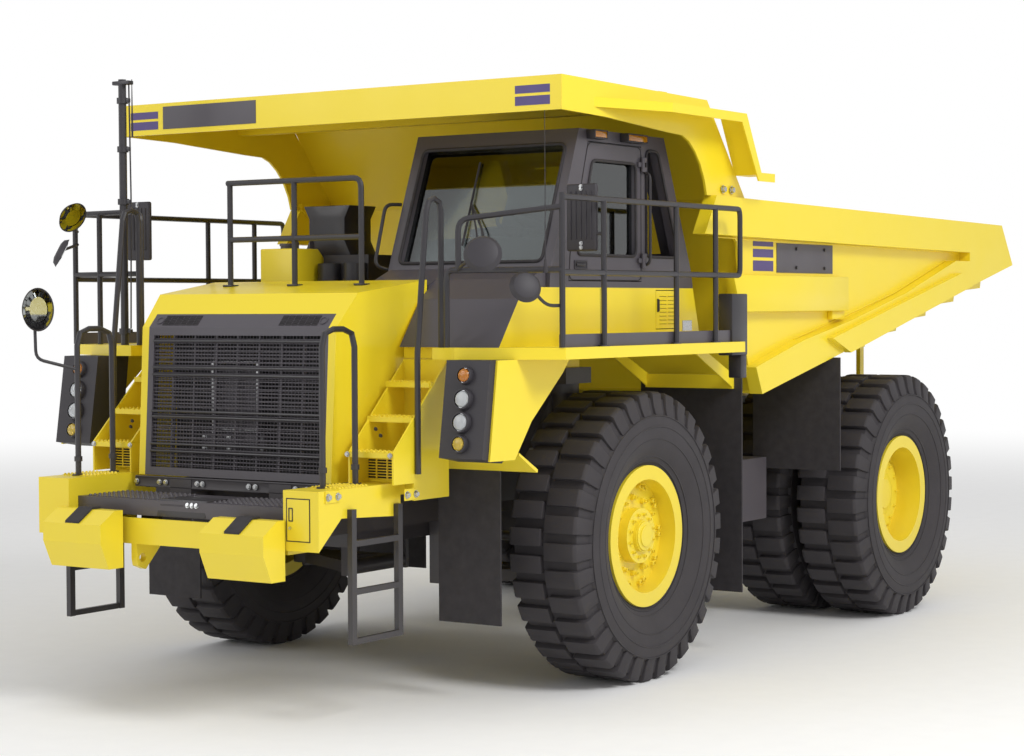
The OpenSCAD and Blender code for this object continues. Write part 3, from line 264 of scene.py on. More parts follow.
# ---- the bumper's boxes: bolts, door, seam and grating ----
# Boxes of 12 mm plate, welded and ground, with a little door over the tow-pin rack in the
# left one. Zinc-plated hex bolts hold the rails, and punched grating makes the top a step.


def select_only(piece):
    bpy.ops.object.select_all(action="DESELECT")
    piece.select_set(True)
    bpy.context.view_layer.objects.active = piece


def start_box(name, low, high):
    """A box between two corners, in metres from the front axle, ready for shaping."""
    bpy.ops.object.select_all(action="DESELECT")
    bpy.ops.mesh.primitive_cube_add(size=1, location=[(a + b) / 2 for a, b in zip(low, high)])
    piece = bpy.context.object
    piece.name = name
    piece.scale = [b - a for a, b in zip(low, high)]
    bpy.ops.object.transform_apply(location=True, scale=True)
    return piece


def start_round(name, start, end, radius, sides=16, end_radius=None):
    """A round bar or cone from one point to another, ready for shaping."""
    start, end = Vector(start), Vector(end)
    bpy.ops.object.select_all(action="DESELECT")
    bpy.ops.mesh.primitive_cone_add(
        vertices=sides, radius1=radius, radius2=radius if end_radius is None else end_radius, depth=(end - start).length,
        location=(start + end) / 2, rotation=(end - start).to_track_quat("Z", "Y").to_euler())
    bpy.ops.object.transform_apply(location=True, rotation=True)
    bpy.context.object.name = name
    return bpy.context.object


def pick_faces(piece, test):
    """Goes into edit mode with the faces selected that pass a test on their middle and normal."""
    select_only(piece)
    bpy.ops.object.mode_set(mode="EDIT")
    bpy.ops.mesh.select_mode(type="FACE")
    bpy.ops.mesh.select_all(action="DESELECT")
    bpy.ops.object.mode_set(mode="OBJECT")
    for face in piece.data.polygons:
        face.select = test(face.center, face.normal)
    bpy.ops.object.mode_set(mode="EDIT")


def done_editing():
    bpy.ops.object.mode_set(mode="OBJECT")


def inset_faces(piece, test, thickness, sink=None, shift=None):
    """Insets the faces that pass a test, then extrudes the middle by sink or moves it by shift."""
    pick_faces(piece, test)
    bpy.ops.mesh.inset(thickness=thickness)
    if sink:
        bpy.ops.mesh.extrude_region_move(TRANSFORM_OT_translate={"value": sink})
    if shift:
        bpy.ops.transform.translate(value=shift)
    done_editing()


def round_edges(piece, width, segments=2):
    select_only(piece)
    rounding = piece.modifiers.new("rounding", "BEVEL")
    rounding.width, rounding.segments, rounding.limit_method = width, segments, "ANGLE"
    bpy.ops.object.modifier_apply(modifier="rounding")
    bpy.ops.object.shade_smooth_by_angle(angle=math.radians(35))


def copy_to(piece, name, matrix):
    twin = piece.copy()
    twin.data = piece.data.copy()
    twin.name = name
    twin.data.transform(matrix)
    bpy.context.collection.objects.link(twin)
    return twin


def mirror_twin(piece, name):
    twin = copy_to(piece, name, Matrix.Scale(-1, 4, (1, 0, 0)))
    pick_faces(twin, lambda middle, normal: True)
    bpy.ops.mesh.normals_make_consistent(inside=False)
    done_editing()
    return twin


def one_piece(name, pieces):
    bpy.ops.object.select_all(action="DESELECT")
    for piece in pieces:
        piece.select_set(True)
    bpy.context.view_layer.objects.active = pieces[0]
    if len(pieces) > 1:
        bpy.ops.object.join()
    pieces[0].name = name
    return pieces[0]


def fit(piece, material, body="root"):
    """Moves a finished piece from the front axle's frame to the truck's, and fixes it to its body."""
    piece.data.transform(Matrix.Translation((0, FRONT_AXLE_Y, 0)))
    piece.data.materials.clear()
    piece.data.materials.append(material)
    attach(piece, body)


def metal(name, colour, roughness, scale):
    """Bare or plated metal: finely mottled gloss."""
    material = new_finish(name)
    place = add_node(material, "ShaderNodeTexCoord", {}, {}).outputs["Object"]
    mottle = add_node(material, "ShaderNodeTexNoise", {}, {"Vector": place, "Scale": scale, "Detail": 4.0})
    shine = add_node(material, "ShaderNodeMapRange", {}, {
        "Value": mottle.outputs["Fac"], "From Min": 0.3, "From Max": 0.7, "To Min": roughness * 0.7, "To Max": roughness * 1.4})
    shader = add_node(material, "ShaderNodeBsdfPrincipled", {}, {
        "Base Color": to_linear(colour), "Metallic": 1.0, "Roughness": shine.outputs[0]})
    add_node(material, "ShaderNodeOutputMaterial", {}, {"Surface": shader.outputs[0]})
    return material


zinc_plate = metal("zinc plated fasteners", "#c9cacb", 0.28, 60.0)
# one M20 bolt with its washer, head up, at the origin
washer = start_round("washer", (0, 0, 0), (0, 0, 0.004), 0.021, 20)
bolt_head = start_round("bolt head", (0, 0, 0.004), (0, 0, 0.017), 0.0165, 6)
pick_faces(bolt_head, lambda middle, normal: normal.z > 0.9)
bpy.ops.mesh.bevel(offset=0.0022, segments=2)
done_editing()
bolt_pattern = one_piece("bolt pattern", [bolt_head, washer])


def bolts(name, places, facing, size=1.0, material=zinc_plate, body="root"):
    """A group of bolts at places, with their heads facing one way."""
    turn = Vector(facing).to_track_quat("Z", "Y").to_matrix().to_4x4()
    group = [copy_to(bolt_pattern, name, Matrix.Translation(place) @ turn @ Matrix.Diagonal((size, size,
        size, 1)))
             for place in places]
    piece = one_piece(name, group)
    fit(piece, material, body)
    return piece


# the left box's door: a plate in a thin reveal, with a flush handle slot and a lock
door_reveal = start_box("bumper_door_reveal", (1.005, -2.9925, 1.262), (1.205, -2.988, 1.548))
inset_faces(door_reveal, lambda middle, normal: normal.y < -0.9, 0.006, sink=(0, 0.0035, 0))
door_plate = start_box("bumper_door_plate", (1.013, -2.9935, 1.270), (1.197, -2.989, 1.540))
inset_faces(door_plate, lambda middle, normal: normal.y < -0.9, 0.006, shift=(0, -0.0015, 0))
round_edges(door_plate, 0.0012)
fit(door_reveal, black_rubber_and_shade)
fit(door_plate, yellow_enamel)
handle_slot = start_box("bumper_door_handle", (1.028, -2.9985, 1.395), (1.064, -2.993, 1.485))
inset_faces(handle_slot, lambda middle, normal: normal.y < -0.9, 0.007, sink=(0, 0.004, 0))
round_edges(handle_slot, 0.0015)
fit(handle_slot, black_rubber_and_shade)
door_lock = start_round("bumper_door_lock", (1.040, -2.993, 1.352), (1.040, -3.001, 1.352), 0.011, 20)
inset_faces(door_lock, lambda middle, normal: normal.y < -0.9, 0.003, sink=(0, 0.003, 0))
fit(door_lock, zinc_plate)

# two-bolt plates of the rail feet, on the outside of the box and of the stair
foot_plate = start_box("rail_foot_plate", (1.2755, -2.925, 1.515), (1.2835, -2.775, 1.595))
inset_faces(foot_plate, lambda middle, normal: normal.x > 0.9, 0.004)
round_edges(foot_plate, 0.003)
stair_foot = copy_to(foot_plate, "rail_foot_plate_stair", Matrix.Translation((0.1155, 0.708, -0.03)))
stair_foot_right = mirror_twin(stair_foot, "rail_foot_plate_stair_right")
for piece in (foot_plate, stair_foot, stair_foot_right):
    fit(piece, yellow_enamel)
bolts("rail_foot_bolts", [(1.2835, -2.90, 1.555), (1.2835, -2.80, 1.555)], (1, 0, 0), 1.2)
bolts("rail_foot_bolts_stair", [(1.399, -2.192, 1.525), (1.399, -2.092, 1.525)], (1, 0, 0), 1.2)
bolts("rail_foot_bolts_stair_right", [(-1.399, -2.192, 1.525), (-1.399, -2.092, 1.525)], (-1, 0, 0), 1.2)


def grating(name, low, high, pitch, material, body="root"):
    """A plate of punched grating: rows of raised, open-topped lugs on a thin sheet."""
    sheet = start_box(name, low, (high[0], high[1], low[2] + 0.003))
    lug = start_round("grating lug", (0, 0, 0), (0, 0, 0.010), 0.011, 8, 0.0075)
    inset_faces(lug, lambda middle, normal: normal.z > 0.9, 0.0022, sink=(0, 0, -0.009))
    across = int((high[0] - low[0] - 0.02) / pitch)
    along = int((high[1] - low[1] - 0.02) / pitch)
    lugs = [lug]
    for i in range(across + 1):
        for j in range(along + 1):
            place = (low[0] + 0.012 + i * (high[0] - low[0] - 0.024) / max(across, 1),
                     low[1] + 0.012 + j * (high[1] - low[1] - 0.024) / max(along, 1), low[2] + 0.002)
            lugs.append(copy_to(lug, name, Matrix.Translation(place)))
    bpy.data.objects.remove(lugs.pop(0))
    fit(one_piece(name, [sheet] + lugs), material, body)


for side, name in ((1, "left"), (-1, "right")):
    low_x, high_x = sorted((side * 1.022, side * 1.268))
    grating("box_grating_" + name, (low_x, -2.76, 1.5985), (high_x, -2.45, 1.6), 0.036, yellow_enamel)

# ---- the walkway: grating, ledge bolts and lid ----
# The dark plate between the boxes, with grating to stand on while the glass is cleaned, and
# a ledge under the grille that bolts to the frame. The lid over the pin store is raised.
grating("walkway_grating_left", (0.25, -2.86, 1.4705), (0.92, -2.46, 1.48), 0.045, grey_enamel)
grating("walkway_grating_right", (-0.92, -2.86, 1.4705), (-0.25, -2.46, 1.48), 0.045, grey_enamel)
bolts("ledge_bolts", [(x, -2.4005, 1.545) for x in (-0.88, -0.66, -0.60, -0.30, -0.25, 0.18, 0.24, 0.60,
    0.70, 0.76, 0.94)],
      (0, -1, 0), 1.0)
bolts("lid_bolts", [(x, -2.894, 1.447) for x in (0.06, 0.10, 0.14)], (0, -0.89, 0.45), 1.0)
lid_slot = start_box("lid_slot", (-0.19, -2.9005, 1.437), (0.02, -2.885, 1.447))
inset_faces(lid_slot, lambda middle, normal: normal.y < -0.9, 0.003, sink=(0, 0.006, 0))
fit(lid_slot, black_rubber_and_shade)
ledge = start_box("grille_ledge", (-0.90, -2.4, 1.505), (0.975, -2.375, 1.585))
inset_faces(ledge, lambda middle, normal: normal.y < -0.9, 0.010, sink=(0, 0.006, 0))
round_edges(ledge, 0.004)
fit(ledge, chassis_enamel)

# ---- the grille and the radiator ----
# A welded frame of bars with a mesh of 4 mm wire on it, hinged over the radiator. Behind
# it stand the radiator's finned core, the oil cooler in its bright frame and the fan guard.
GRILLE_LOW, GRILLE_HIGH = (-2.372, 1.592), (-2.310, 2.658)


def grille_y(z):
    """Where the leaning grille stands at a height."""
    share = (z - GRILLE_LOW[1]) / (GRILLE_HIGH[1] - GRILLE_LOW[1])
    return GRILLE_LOW[0] + share * (GRILLE_HIGH[0] - GRILLE_LOW[0])


wires = []
for i in range(53):
    x = -0.78 + i * 0.03
    wires.append(start_round("wire", (x, grille_y(1.645) + 0.012, 1.645), (x, grille_y(2.61) + 0.012, 2.61),
        0.0022, 5))
for j in range(25):
    z = 1.665 + j * 0.039
    wires.append(start_round("wire", (-0.785, grille_y(z) + 0.008, z), (0.785, grille_y(z) + 0.008, z),
        0.0022, 5))
mesh_screen = one_piece("grille_mesh", wires)
fit(mesh_screen, grey_enamel)

fins = new_finish("radiator fins")
place = add_node(fins, "ShaderNodeTexCoord", {}, {}).outputs["Object"]
# rows of flattened tubes 12 mm apart with fins 4 mm apart between them
rows = add_node(fins, "ShaderNodeTexWave", {"wave_type": "BANDS", "bands_direction": "X"},
    {"Vector": place, "Scale": 26.0, "Distortion": 0.0})
crimps = add_node(fins, "ShaderNodeTexWave", {"wave_type": "BANDS", "bands_direction": "Z"},
    {"Vector": place, "Scale": 60.0, "Distortion": 0.0})
both = add_node(fins, "ShaderNodeMath", {"operation": "MULTIPLY"},
    {0: rows.outputs["Fac"], 1: crimps.outputs["Fac"]})
tone = add_node(fins, "ShaderNodeMix", {"data_type": "RGBA"},
    {0: both.outputs[0], 6: to_linear("#121112"), 7: to_linear("#3a383b")})
relief = add_node(fins, "ShaderNodeBump", {}, {"Height": both.outputs[0], "Strength": 0.5,
    "Distance": 0.006})
shader = add_node(fins, "ShaderNodeBsdfPrincipled", {},
    {"Base Color": tone.outputs[2], "Roughness": 0.6, "Normal": relief.outputs[0]})
add_node(fins, "ShaderNodeOutputMaterial", {}, {"Surface": shader.outputs[0]})
finish_nodes(fins, "radiator")

# the oil cooler: a finned block in a bright bolted frame, and the plate under it
cooler = start_box("oil_cooler_core", (-0.235, -2.262, 1.945), (0.155, -2.2505, 2.375))
pick_faces(cooler, lambda middle, normal: normal.y < -0.9)
bpy.ops.mesh.subdivide(number_cuts=18)
done_editing()
pick_faces(cooler, lambda middle, normal: normal.y < -0.9 and int((middle.z - 1.945) / 0.0226) % 2 == 0)
bpy.ops.mesh.extrude_region_move(TRANSFORM_OT_translate={"value": (0, -0.010, 0)})
done_editing()
fit(cooler, grey_enamel)
bright_strips = []
for low, high in (((-0.26, -2.285, 1.90), (-0.236, -2.250, 2.42)),
    ((0.156, -2.285, 1.90), (0.18, -2.250, 2.42)),
                  ((-0.26, -2.285, 2.40), (0.18, -2.250, 2.42)), ((-0.26, -2.285, 1.925),
                      (0.18, -2.250, 1.94))):
    strip = start_box("strip", low, high)
    inset_faces(strip, lambda middle, normal: normal.y < -0.9, 0.004, shift=(0, -0.002, 0))
    bright_strips.append(strip)
fit(one_piece("oil_cooler_frame", bright_strips), zinc_plate)
cooler_plate = start_box("oil_cooler_plate", (-0.36, -2.275, 1.765), (0.22, -2.255, 1.905))
inset_faces(cooler_plate, lambda middle, normal: normal.y < -0.9, 0.008, sink=(0, -0.005, 0))
round_edges(cooler_plate, 0.003)
fit(cooler_plate, grey_enamel)
bolts("oil_cooler_bolts", [(x, -2.281, z) for x in (-0.33, -0.10, -0.03, 0.19) for z in (1.795, 1.875)],
    (0, -1, 0), 1.0)

# top band: two groups of louvres, their sunk cells black as painted shade in the openings, and a round
# recess at each end
band_normal = Vector((0, -0.737, 0.676))
band_along = Vector((0, 0.676, 0.737))
band_foot = Vector((0, -2.3105, 2.6585))
louvres = []
for side in (-1, 1):
    for column in range(6):
        for row in range(4):
            x = side * (0.40 + column * 0.058)
            cell = start_box("louvre", (x - 0.025, -0.002, -0.009), (x + 0.025, 0.002, 0.009))
            inset_faces(cell, lambda middle, normal: normal.y < -0.9, 0.003, sink=(0, 0.003, 0))
            lean = Matrix.Rotation(-math.atan2(0.676, 0.737), 4, "X")
            place = band_foot + band_along * (0.028 + row * 0.024) + band_normal * 0.001
            cell.data.transform(Matrix.Translation(place) @ lean)
            louvres.append(cell)
fit(one_piece("grille_band_louvre_shade", louvres), black_rubber_and_shade)
recesses = []
for side in (-1, 1):
    middle = band_foot + band_along * 0.062 + Vector((side * 0.755, 0, 0))
    ring = start_round("recess", middle, middle + band_normal * 0.006, 0.033, 28)
    inset_faces(ring, lambda middle_, normal: normal.dot(band_normal) > 0.9, 0.007,
        sink=tuple(band_normal * -0.005))
    recesses.append(ring)
fit(one_piece("grille_band_recesses", recesses), grey_enamel)

# ---- the stairs: treads, nosings and vents ----
# Folded 5 mm plate treads between two side plates, each with punched grating and a toothed
# front edge. A panel of slots under the first tread lets air to the engine bay.
TREADS = ((-2.330, 1.812), (-2.105, 2.042), (-1.890, 2.274))

tread_pieces = []
for side in (1, -1):
    for y, z in TREADS:
        nosing = start_box("nosing", (1.0, y - 0.006, z - 0.034), (1.375, y + 0.0005, z + 0.001))
        pick_faces(nosing, lambda middle, normal: normal.z > 0.9)
        bpy.ops.mesh.subdivide(number_cuts=15)
        done_editing()
        pick_faces(nosing, lambda middle, normal: normal.z > 0.9 and int((middle.x - 1.0) / 0.0234) % 2 == 0)
        bpy.ops.mesh.extrude_region_move(TRANSFORM_OT_translate={"value": (0, 0, 0.006)})
        done_editing()
        if side < 0:
            nosing_left, nosing = nosing, mirror_twin(nosing, "nosing")
            bpy.data.objects.remove(nosing_left)
        tread_pieces.append(nosing)
fit(one_piece("stair_nosings", tread_pieces), yellow_enamel)
for side, name in ((1, "left"), (-1, "right")):
    low_x, high_x = sorted((side * 1.005, side * 1.37))
    for number, (y, z) in enumerate(TREADS):
        grating(f"tread_grating_{name}_{number}", (low_x, y + 0.01, z + 0.0005),
            (high_x, y + 0.155, z + 0.003), 0.036, yellow_enamel)
    bolts("tread_bolts_" + name, [(side * 1.005, -2.3375, 1.797), (side * 1.368, -2.3375, 1.797)],
        (0, -1, 0), 0.9)
    bolts("riser_bolts_" + name, [(side * 1.16, -2.165, 1.92), (side * 1.13, -2.18, 1.965)],
        (0, -0.9, -0.4), 0.7, black_enamel)

vents = []
# a black sheet behind the vent bars: painted shade standing in for the dark engine bay seen through the
# openings
vent_shade_sheet = start_box("vent_shade_sheet", (0.999, -2.124, 1.615), (1.375, -2.118, 1.800))
inset_faces(vent_shade_sheet, lambda middle, normal: normal.y < -0.9, 0.01, sink=(0, 0.003, 0))
vent_shade_sheet_right = mirror_twin(vent_shade_sheet, "vent_shade_sheet")
vent_painted_shade = one_piece("vent_painted_shade", [vent_shade_sheet, vent_shade_sheet_right])
for i in range(10):
    z = 1.616 + i * 0.0195
    vents.append(start_box("bar", (0.999, -2.134, z), (1.375, -2.125, z + 0.0075)))
for i in range(5):
    x = 0.999 + i * 0.0915
    vents.append(start_box("bar", (x, -2.136, 1.612), (x + 0.010, -2.125, 1.803)))
vent_left = one_piece("vent_grid_left", vents)
round_edges(vent_left, 0.0012, 1)
vent_right = mirror_twin(vent_left, "vent_grid_right")
fit(vent_painted_shade, black_rubber_and_shade)
fit(vent_left, yellow_enamel)
fit(vent_right, yellow_enamel)

# ---- the lamps ----
# Four round lamps in each pod, one over another: amber turn signal, two clear headlamps and
# a yellow fog lamp. Each has a ribbed glass in a black bezel over a bright bowl.


def lens_glass(name, colour):
    """Ribbed lamp glass, 8 mm ribs, let through by the bright bowl behind it."""
    material = new_finish(name)
    place = add_node(material, "ShaderNodeTexCoord", {}, {}).outputs["Object"]
    ribs = add_node(material, "ShaderNodeTexWave", {"wave_type": "BANDS", "bands_direction": "X"},
        {"Vector": place, "Scale": 40.0})
    relief = add_node(material, "ShaderNodeBump", {},
        {"Height": ribs.outputs["Fac"], "Strength": 0.35, "Distance": 0.003})
    shader = add_node(material, "ShaderNodeBsdfPrincipled", {}, {
        "Base Color": to_linear(colour), "Roughness": 0.08, "IOR": 1.5, "Transmission Weight": 0.55, "Normal": relief.outputs[0],
        "Coat Weight": 0.6, "Coat Roughness": 0.04})
    add_node(material, "ShaderNodeOutputMaterial", {}, {"Surface": shader.outputs[0]})
    return material


amber_glass = lens_glass("amber lamp glass", "#e8941c")
clear_glass = lens_glass("clear lamp glass", "#e6e9ec")
fog_glass = lens_glass("yellow lamp glass", "#efd24a")
lamp_chrome = metal("bright lamp bowl", "#d6d8da", 0.12, 20.0)
finish_nodes(lamp_chrome, "lamps")
POD_LEAN = Vector((0, -0.9885, 0.1513))
lamp_rows = ((2.333, 0.050, amber_glass, "turn"), (2.174, 0.060, clear_glass, "high"),
    (2.019, 0.060, clear_glass, "low"), (1.875, 0.050, fog_glass, "fog"))
for z, radius, glass, use in lamp_rows:
    middle = Vector((1.790, -2.030 - (2.4347 - z) / 6.547, z))
    front = middle + POD_LEAN * 0.0255
    lens = start_round("lens", front, front + POD_LEAN * 0.012, radius * 0.97, 36, radius * 0.80)
    inset_faces(lens, lambda place_, normal: normal.dot(POD_LEAN) > 0.95, radius * 0.3,
        shift=tuple(POD_LEAN * 0.005))
    round_edges(lens, 0.003)
    bezel = start_round("bezel", middle + POD_LEAN * 0.001, middle + POD_LEAN * 0.036, radius * 1.28, 36,
        radius * 1.16)
    pick_faces(bezel, lambda place_, normal: abs(normal.dot(POD_LEAN)) > 0.95)
    bpy.ops.mesh.inset(thickness=radius * 0.17)
    bpy.ops.mesh.delete(type="FACE")
    done_editing()
    select_only(bezel)
    wall = bezel.modifiers.new("wall", "SOLIDIFY")
    wall.thickness = 0.004
    bpy.ops.object.modifier_apply(modifier="wall")
    round_edges(bezel, 0.0015)
    lens_right, bezel_right = mirror_twin(lens, "lens_" + use + "_right"), mirror_twin(bezel,
        "bezel_" + use + "_right")
    lens.name, bezel.name = "lens_" + use + "_left", "bezel_" + use + "_left"
    for piece in (lens, lens_right):
        fit(piece, glass)
    for piece in (bezel, bezel_right):
        fit(piece, dark_moulding)

# ---- the body's markings and bolts ----
# Vinyl film on the side plates: three bars and a blank plate between the rails on each side,
# and the same on the canopy's front edge. The plates are held by four screws.
purple_film = new_finish("deep purple film")
place = add_node(purple_film, "ShaderNodeTexCoord", {}, {}).outputs["Object"]
fade = add_node(purple_film, "ShaderNodeTexNoise", {}, {"Vector": place, "Scale": 9.0, "Detail": 5.0})
tone = add_node(purple_film, "ShaderNodeMix", {"data_type": "RGBA"},
    {0: fade.outputs["Fac"], 6: to_linear("#493b72"), 7: to_linear("#55477f")})
shader = add_node(purple_film, "ShaderNodeBsdfPrincipled", {},
    {"Base Color": tone.outputs[2], "Roughness": 0.4, "IOR": 1.5})
add_node(purple_film, "ShaderNodeOutputMaterial", {}, {"Surface": shader.outputs[0]})


def plate_on_side(name, low_y, high_y, low_z, high_z, thick):
    """A thin plate on the body's left side plate, with its front edges eased."""
    plate = start_box(name, (2.0102, low_y, low_z), (2.0102 + thick, high_y, high_z))
    inset_faces(plate, lambda middle, normal: normal.x > 0.9, thick * 0.6, shift=(thick * 0.4, 0, 0))
    return plate


bars = [plate_on_side("bar", 1.677, 2.034, z0, z1, 0.0012) for z0,
    z1 in ((3.072, 3.157), (3.183, 3.250), (3.273, 3.312))]
bars_left = one_piece("side_bars_left", bars)
bars_right = mirror_twin(bars_left, "side_bars_right")
blank_left = plate_on_side("side_blank_left", 2.091, 3.146, 3.062, 3.305, 0.004)
blank_right = mirror_twin(blank_left, "side_blank_right")
for piece, material in ((bars_left, purple_film), (bars_right, purple_film), (blank_left, grey_enamel),
    (blank_right, grey_enamel)):
    fit(piece, material, "dump_body")
for side, name in ((1, "left"), (-1, "right")):
    bolts("side_blank_screws_" + name, [(side * 2.0146, y, z) for y in (2.443, 2.978) for z in (3.107,
        3.263)], (side, 0, 0), 0.8,
          black_enamel, "dump_body")

front_bars = []
for x0, x1 in ((1.683, 1.974), (-1.974, -1.683)):
    for z0, z1 in ((4.198, 4.262), (4.282, 4.338)):
        bar = start_box("bar", (x0, -1.2775, z0), (x1, -1.2762, z1))
        inset_faces(bar, lambda middle, normal: normal.y < -0.9, 0.001)
        front_bars.append(bar)
fit(one_piece("canopy_bars", front_bars), purple_film, "dump_body")
front_blank = start_box("canopy_blank", (-1.630, -1.279, 4.196), (-0.683, -1.2762, 4.372))
inset_faces(front_blank, lambda middle, normal: normal.y < -0.9, 0.004, shift=(0, -0.001, 0))
fit(front_blank, grey_enamel, "dump_body")
bolts("canopy_bolts", [(2.078, y, 3.70) for y in (1.045, 1.185)], (1, 0, 0), 1.5, zinc_plate, "dump_body")
bolts("canopy_bolts_right", [(-2.078, y, 3.70) for y in (1.045, 1.185)], (-1, 0, 0), 1.5, zinc_plate,
    "dump_body")

# weld beads along the rails and ribs of the body's sides, left and right
beads = []
for start, end in (((2.011, 1.05, 3.330), (2.011, 5.97, 3.292)),
    ((2.011, 1.20, 3.038), (2.011, 3.29, 3.038)),
                   ((2.011, 1.32, 2.742), (2.011, 3.04, 2.742)), ((2.011, 3.297, 2.70),
                       (2.011, 3.297, 3.035)),
                   ((2.011, 2.40, 2.51), (2.011, 4.42, 2.895)), ((2.011, 4.42, 2.895),
                       (2.011, 5.63, 3.213))):
    bead = start_round("bead", start, end, 0.006, 8)
    pick_faces(bead, lambda middle, normal: abs(normal.x) < 2)
    bpy.ops.mesh.subdivide(number_cuts=1)
    done_editing()
    beads.append(bead)
beads_left = one_piece("body_welds_left", beads)
select_only(beads_left)
bpy.ops.object.shade_smooth_by_angle(angle=math.radians(50))
beads_right = mirror_twin(beads_left, "body_welds_right")
fit(beads_left, yellow_enamel, "dump_body")
fit(beads_right, yellow_enamel, "dump_body")

# ---- the cab: seals, wiper, handle, door lines and lamps ----
# Black rubber extrusions hold the glass. The door has a pressed outer skin with a recessed
# handle, the front glass a pantograph wiper, and two work lamps stand under the roof's edge.


def tube_along(name, route, radius, closed):
    """A round mesh along a line of points, with its ends capped where it isn't a loop."""
    curve = bpy.data.curves.new(name, "CURVE")
    curve.dimensions = "3D"
    spline = curve.splines.new("POLY")
    spline.points.add(len(route) - 1)
    for point, at in zip(spline.points, route):
        point.co = (*at, 1)
    spline.use_cyclic_u = closed
    curve.bevel_depth = radius
    curve.bevel_resolution = 2
    curve.use_fill_caps = not closed
    tube = bpy.data.objects.new(name, curve)
    bpy.context.collection.objects.link(tube)
    select_only(tube)
    bpy.ops.object.convert(target="MESH")
    return bpy.context.object


def bend(start, here, end, share):
    """A point on the bend that cuts a corner between two points."""
    return start * (1 - share) ** 2 + here * 2 * share * (1 - share) + end * share ** 2


def seal_loop(name, corners, radius, body="root"):
    """A round-cornered rubber seal through the corners of a window."""
    ring = []
    for i, corner in enumerate(corners):
        before, here, after = Vector(corners[i - 1]), Vector(corner), Vector(corners[(i + 1) % len(corners)])
        start = here + (before - here).normalized() * 0.055
        end = here + (after - here).normalized() * 0.055
        ring += [bend(start, here, end, step / 5) for step in range(6)]
    fit(tube_along(name, ring, radius, True), black_rubber_and_shade, body)


seal_loop("door_window_seal", [(1.853, -0.735, 3.165), (1.853, -0.525, 3.855), (1.853, 0.095, 3.855),
    (1.853, 0.095, 3.165)], 0.011, "cab_door")
seal_loop("rear_quarter_seal", [(1.853, 0.245, 3.165), (1.853, 0.245, 3.965), (1.853, 0.425, 3.965),
    (1.853, 0.745, 3.165)], 0.011)
seal_loop("right_window_seal", [(0.417, -0.825, 3.165), (0.417, -0.565, 3.965), (0.417, 0.405, 3.965),
    (0.417, 0.745, 3.165)], 0.011)
seal_loop("windscreen_seal", [(0.505, -1.071, 3.115), (1.765, -1.071, 3.115), (1.765, -0.742, 3.965),
    (0.505, -0.742, 3.965)], 0.013)


def bent_tube(name, points, radius, turn=0.05):
    """A tube bent through points, as a closed mesh."""
    route = [Vector(points[0])]
    for before, here, after in zip(points, points[1:], points[2:]):
        before, here, after = Vector(before), Vector(here), Vector(after)
        start = here + (before - here).normalized() * min(turn, (before - here).length * 0.45)
        end = here + (after - here).normalized() * min(turn, (after - here).length * 0.45)
        route += [bend(start, here, end, share) for share in (0, 0.25, 0.5, 0.75, 1)]
    route.append(Vector(points[-1]))
    tube = tube_along(name, route, radius, False)
    bpy.ops.object.shade_smooth_by_angle(angle=math.radians(40))
    return tube


fit(bent_tube("cab_grab_handle", [(0.405, -1.06, 3.07), (0.350, -1.16, 3.10), (0.350, -1.02, 3.56),
    (0.405, -0.90, 3.56)], 0.014, 0.06), black_enamel)
fit(bent_tube("door_grab_handle", [(1.852, 0.225, 3.10), (1.90, 0.225, 3.12), (1.90, 0.225, 3.78),
    (1.852, 0.225, 3.80)], 0.012, 0.04), black_enamel)

# the wiper: two arms to a long blade on the left half of the glass
LEAN = (1.085 - 0.700) / (4.075 - 3.075)


def on_glass(x, z, proud):
    """A place on the windscreen at a height, standing proud of it."""
    return Vector((x, -1.030 + (z - 3.077) * LEAN - proud, z))


blade = start_round("wiper_blade", on_glass(1.02, 3.24, 0.018), on_glass(1.02, 3.86, 0.018), 0.009, 8)
pick_faces(blade, lambda middle, normal: abs(normal.z) > 0.8)
bpy.ops.mesh.bevel(offset=0.003)
done_editing()
arms = [bent_tube("arm", [on_glass(x, 3.13, 0.03), on_glass(x - 0.06, 3.35, 0.05),
    on_glass(1.02, 3.56, 0.028)], 0.007) for x in (1.20, 1.25)]
fit(one_piece("wiper", [blade] + arms), black_rubber_and_shade)
wiper_box = start_box("wiper_motor_cover", (1.14, -1.098, 3.078), (1.31, -1.048, 3.122))
round_edges(wiper_box, 0.012, 3)
fit(wiper_box, dark_moulding)

# door skin: a pressed edge round the leaf and a recessed paddle handle under the window
handle_cup = start_box("door_handle_cup", (1.850, -0.775, 3.06), (1.857, -0.60, 3.125))
inset_faces(handle_cup, lambda middle, normal: normal.x > 0.9, 0.012, sink=(-0.005, 0, 0))
round_edges(handle_cup, 0.002)
fit(handle_cup, dark_moulding, "cab_door")
paddle = start_box("door_handle_paddle", (1.853, -0.755, 3.085), (1.864, -0.64, 3.103))
round_edges(paddle, 0.004, 3)
fit(paddle, black_enamel, "cab_door")
seal_loop("door_edge_seal", [(1.8505, -0.843, 2.985), (1.8505, -0.829, 3.170), (1.8505, -0.577, 3.982),
    (1.8505, 0.172, 3.982), (1.8505, 0.172, 2.985)], 0.004, "cab_door")

# work lamps under the roof's edge
for number, (y0, y1) in enumerate(((-0.60, -0.42), (-0.13, 0.16))):
    housing = start_box(f"roof_lamp_{number}", (1.851, y0, 4.005), (1.925, y1, 4.070))
    inset_faces(housing, lambda middle, normal: normal.x > 0.9, 0.008, sink=(-0.006, 0, 0))
    round_edges(housing, 0.004)
    fit(housing, dark_moulding)
    lamp_face = start_box(f"roof_lamp_glass_{number}", (1.917, y0 + 0.012, 4.016),
        (1.923, y1 - 0.012, 4.059))
    round_edges(lamp_face, 0.002)
    fit(lamp_face, amber_glass)
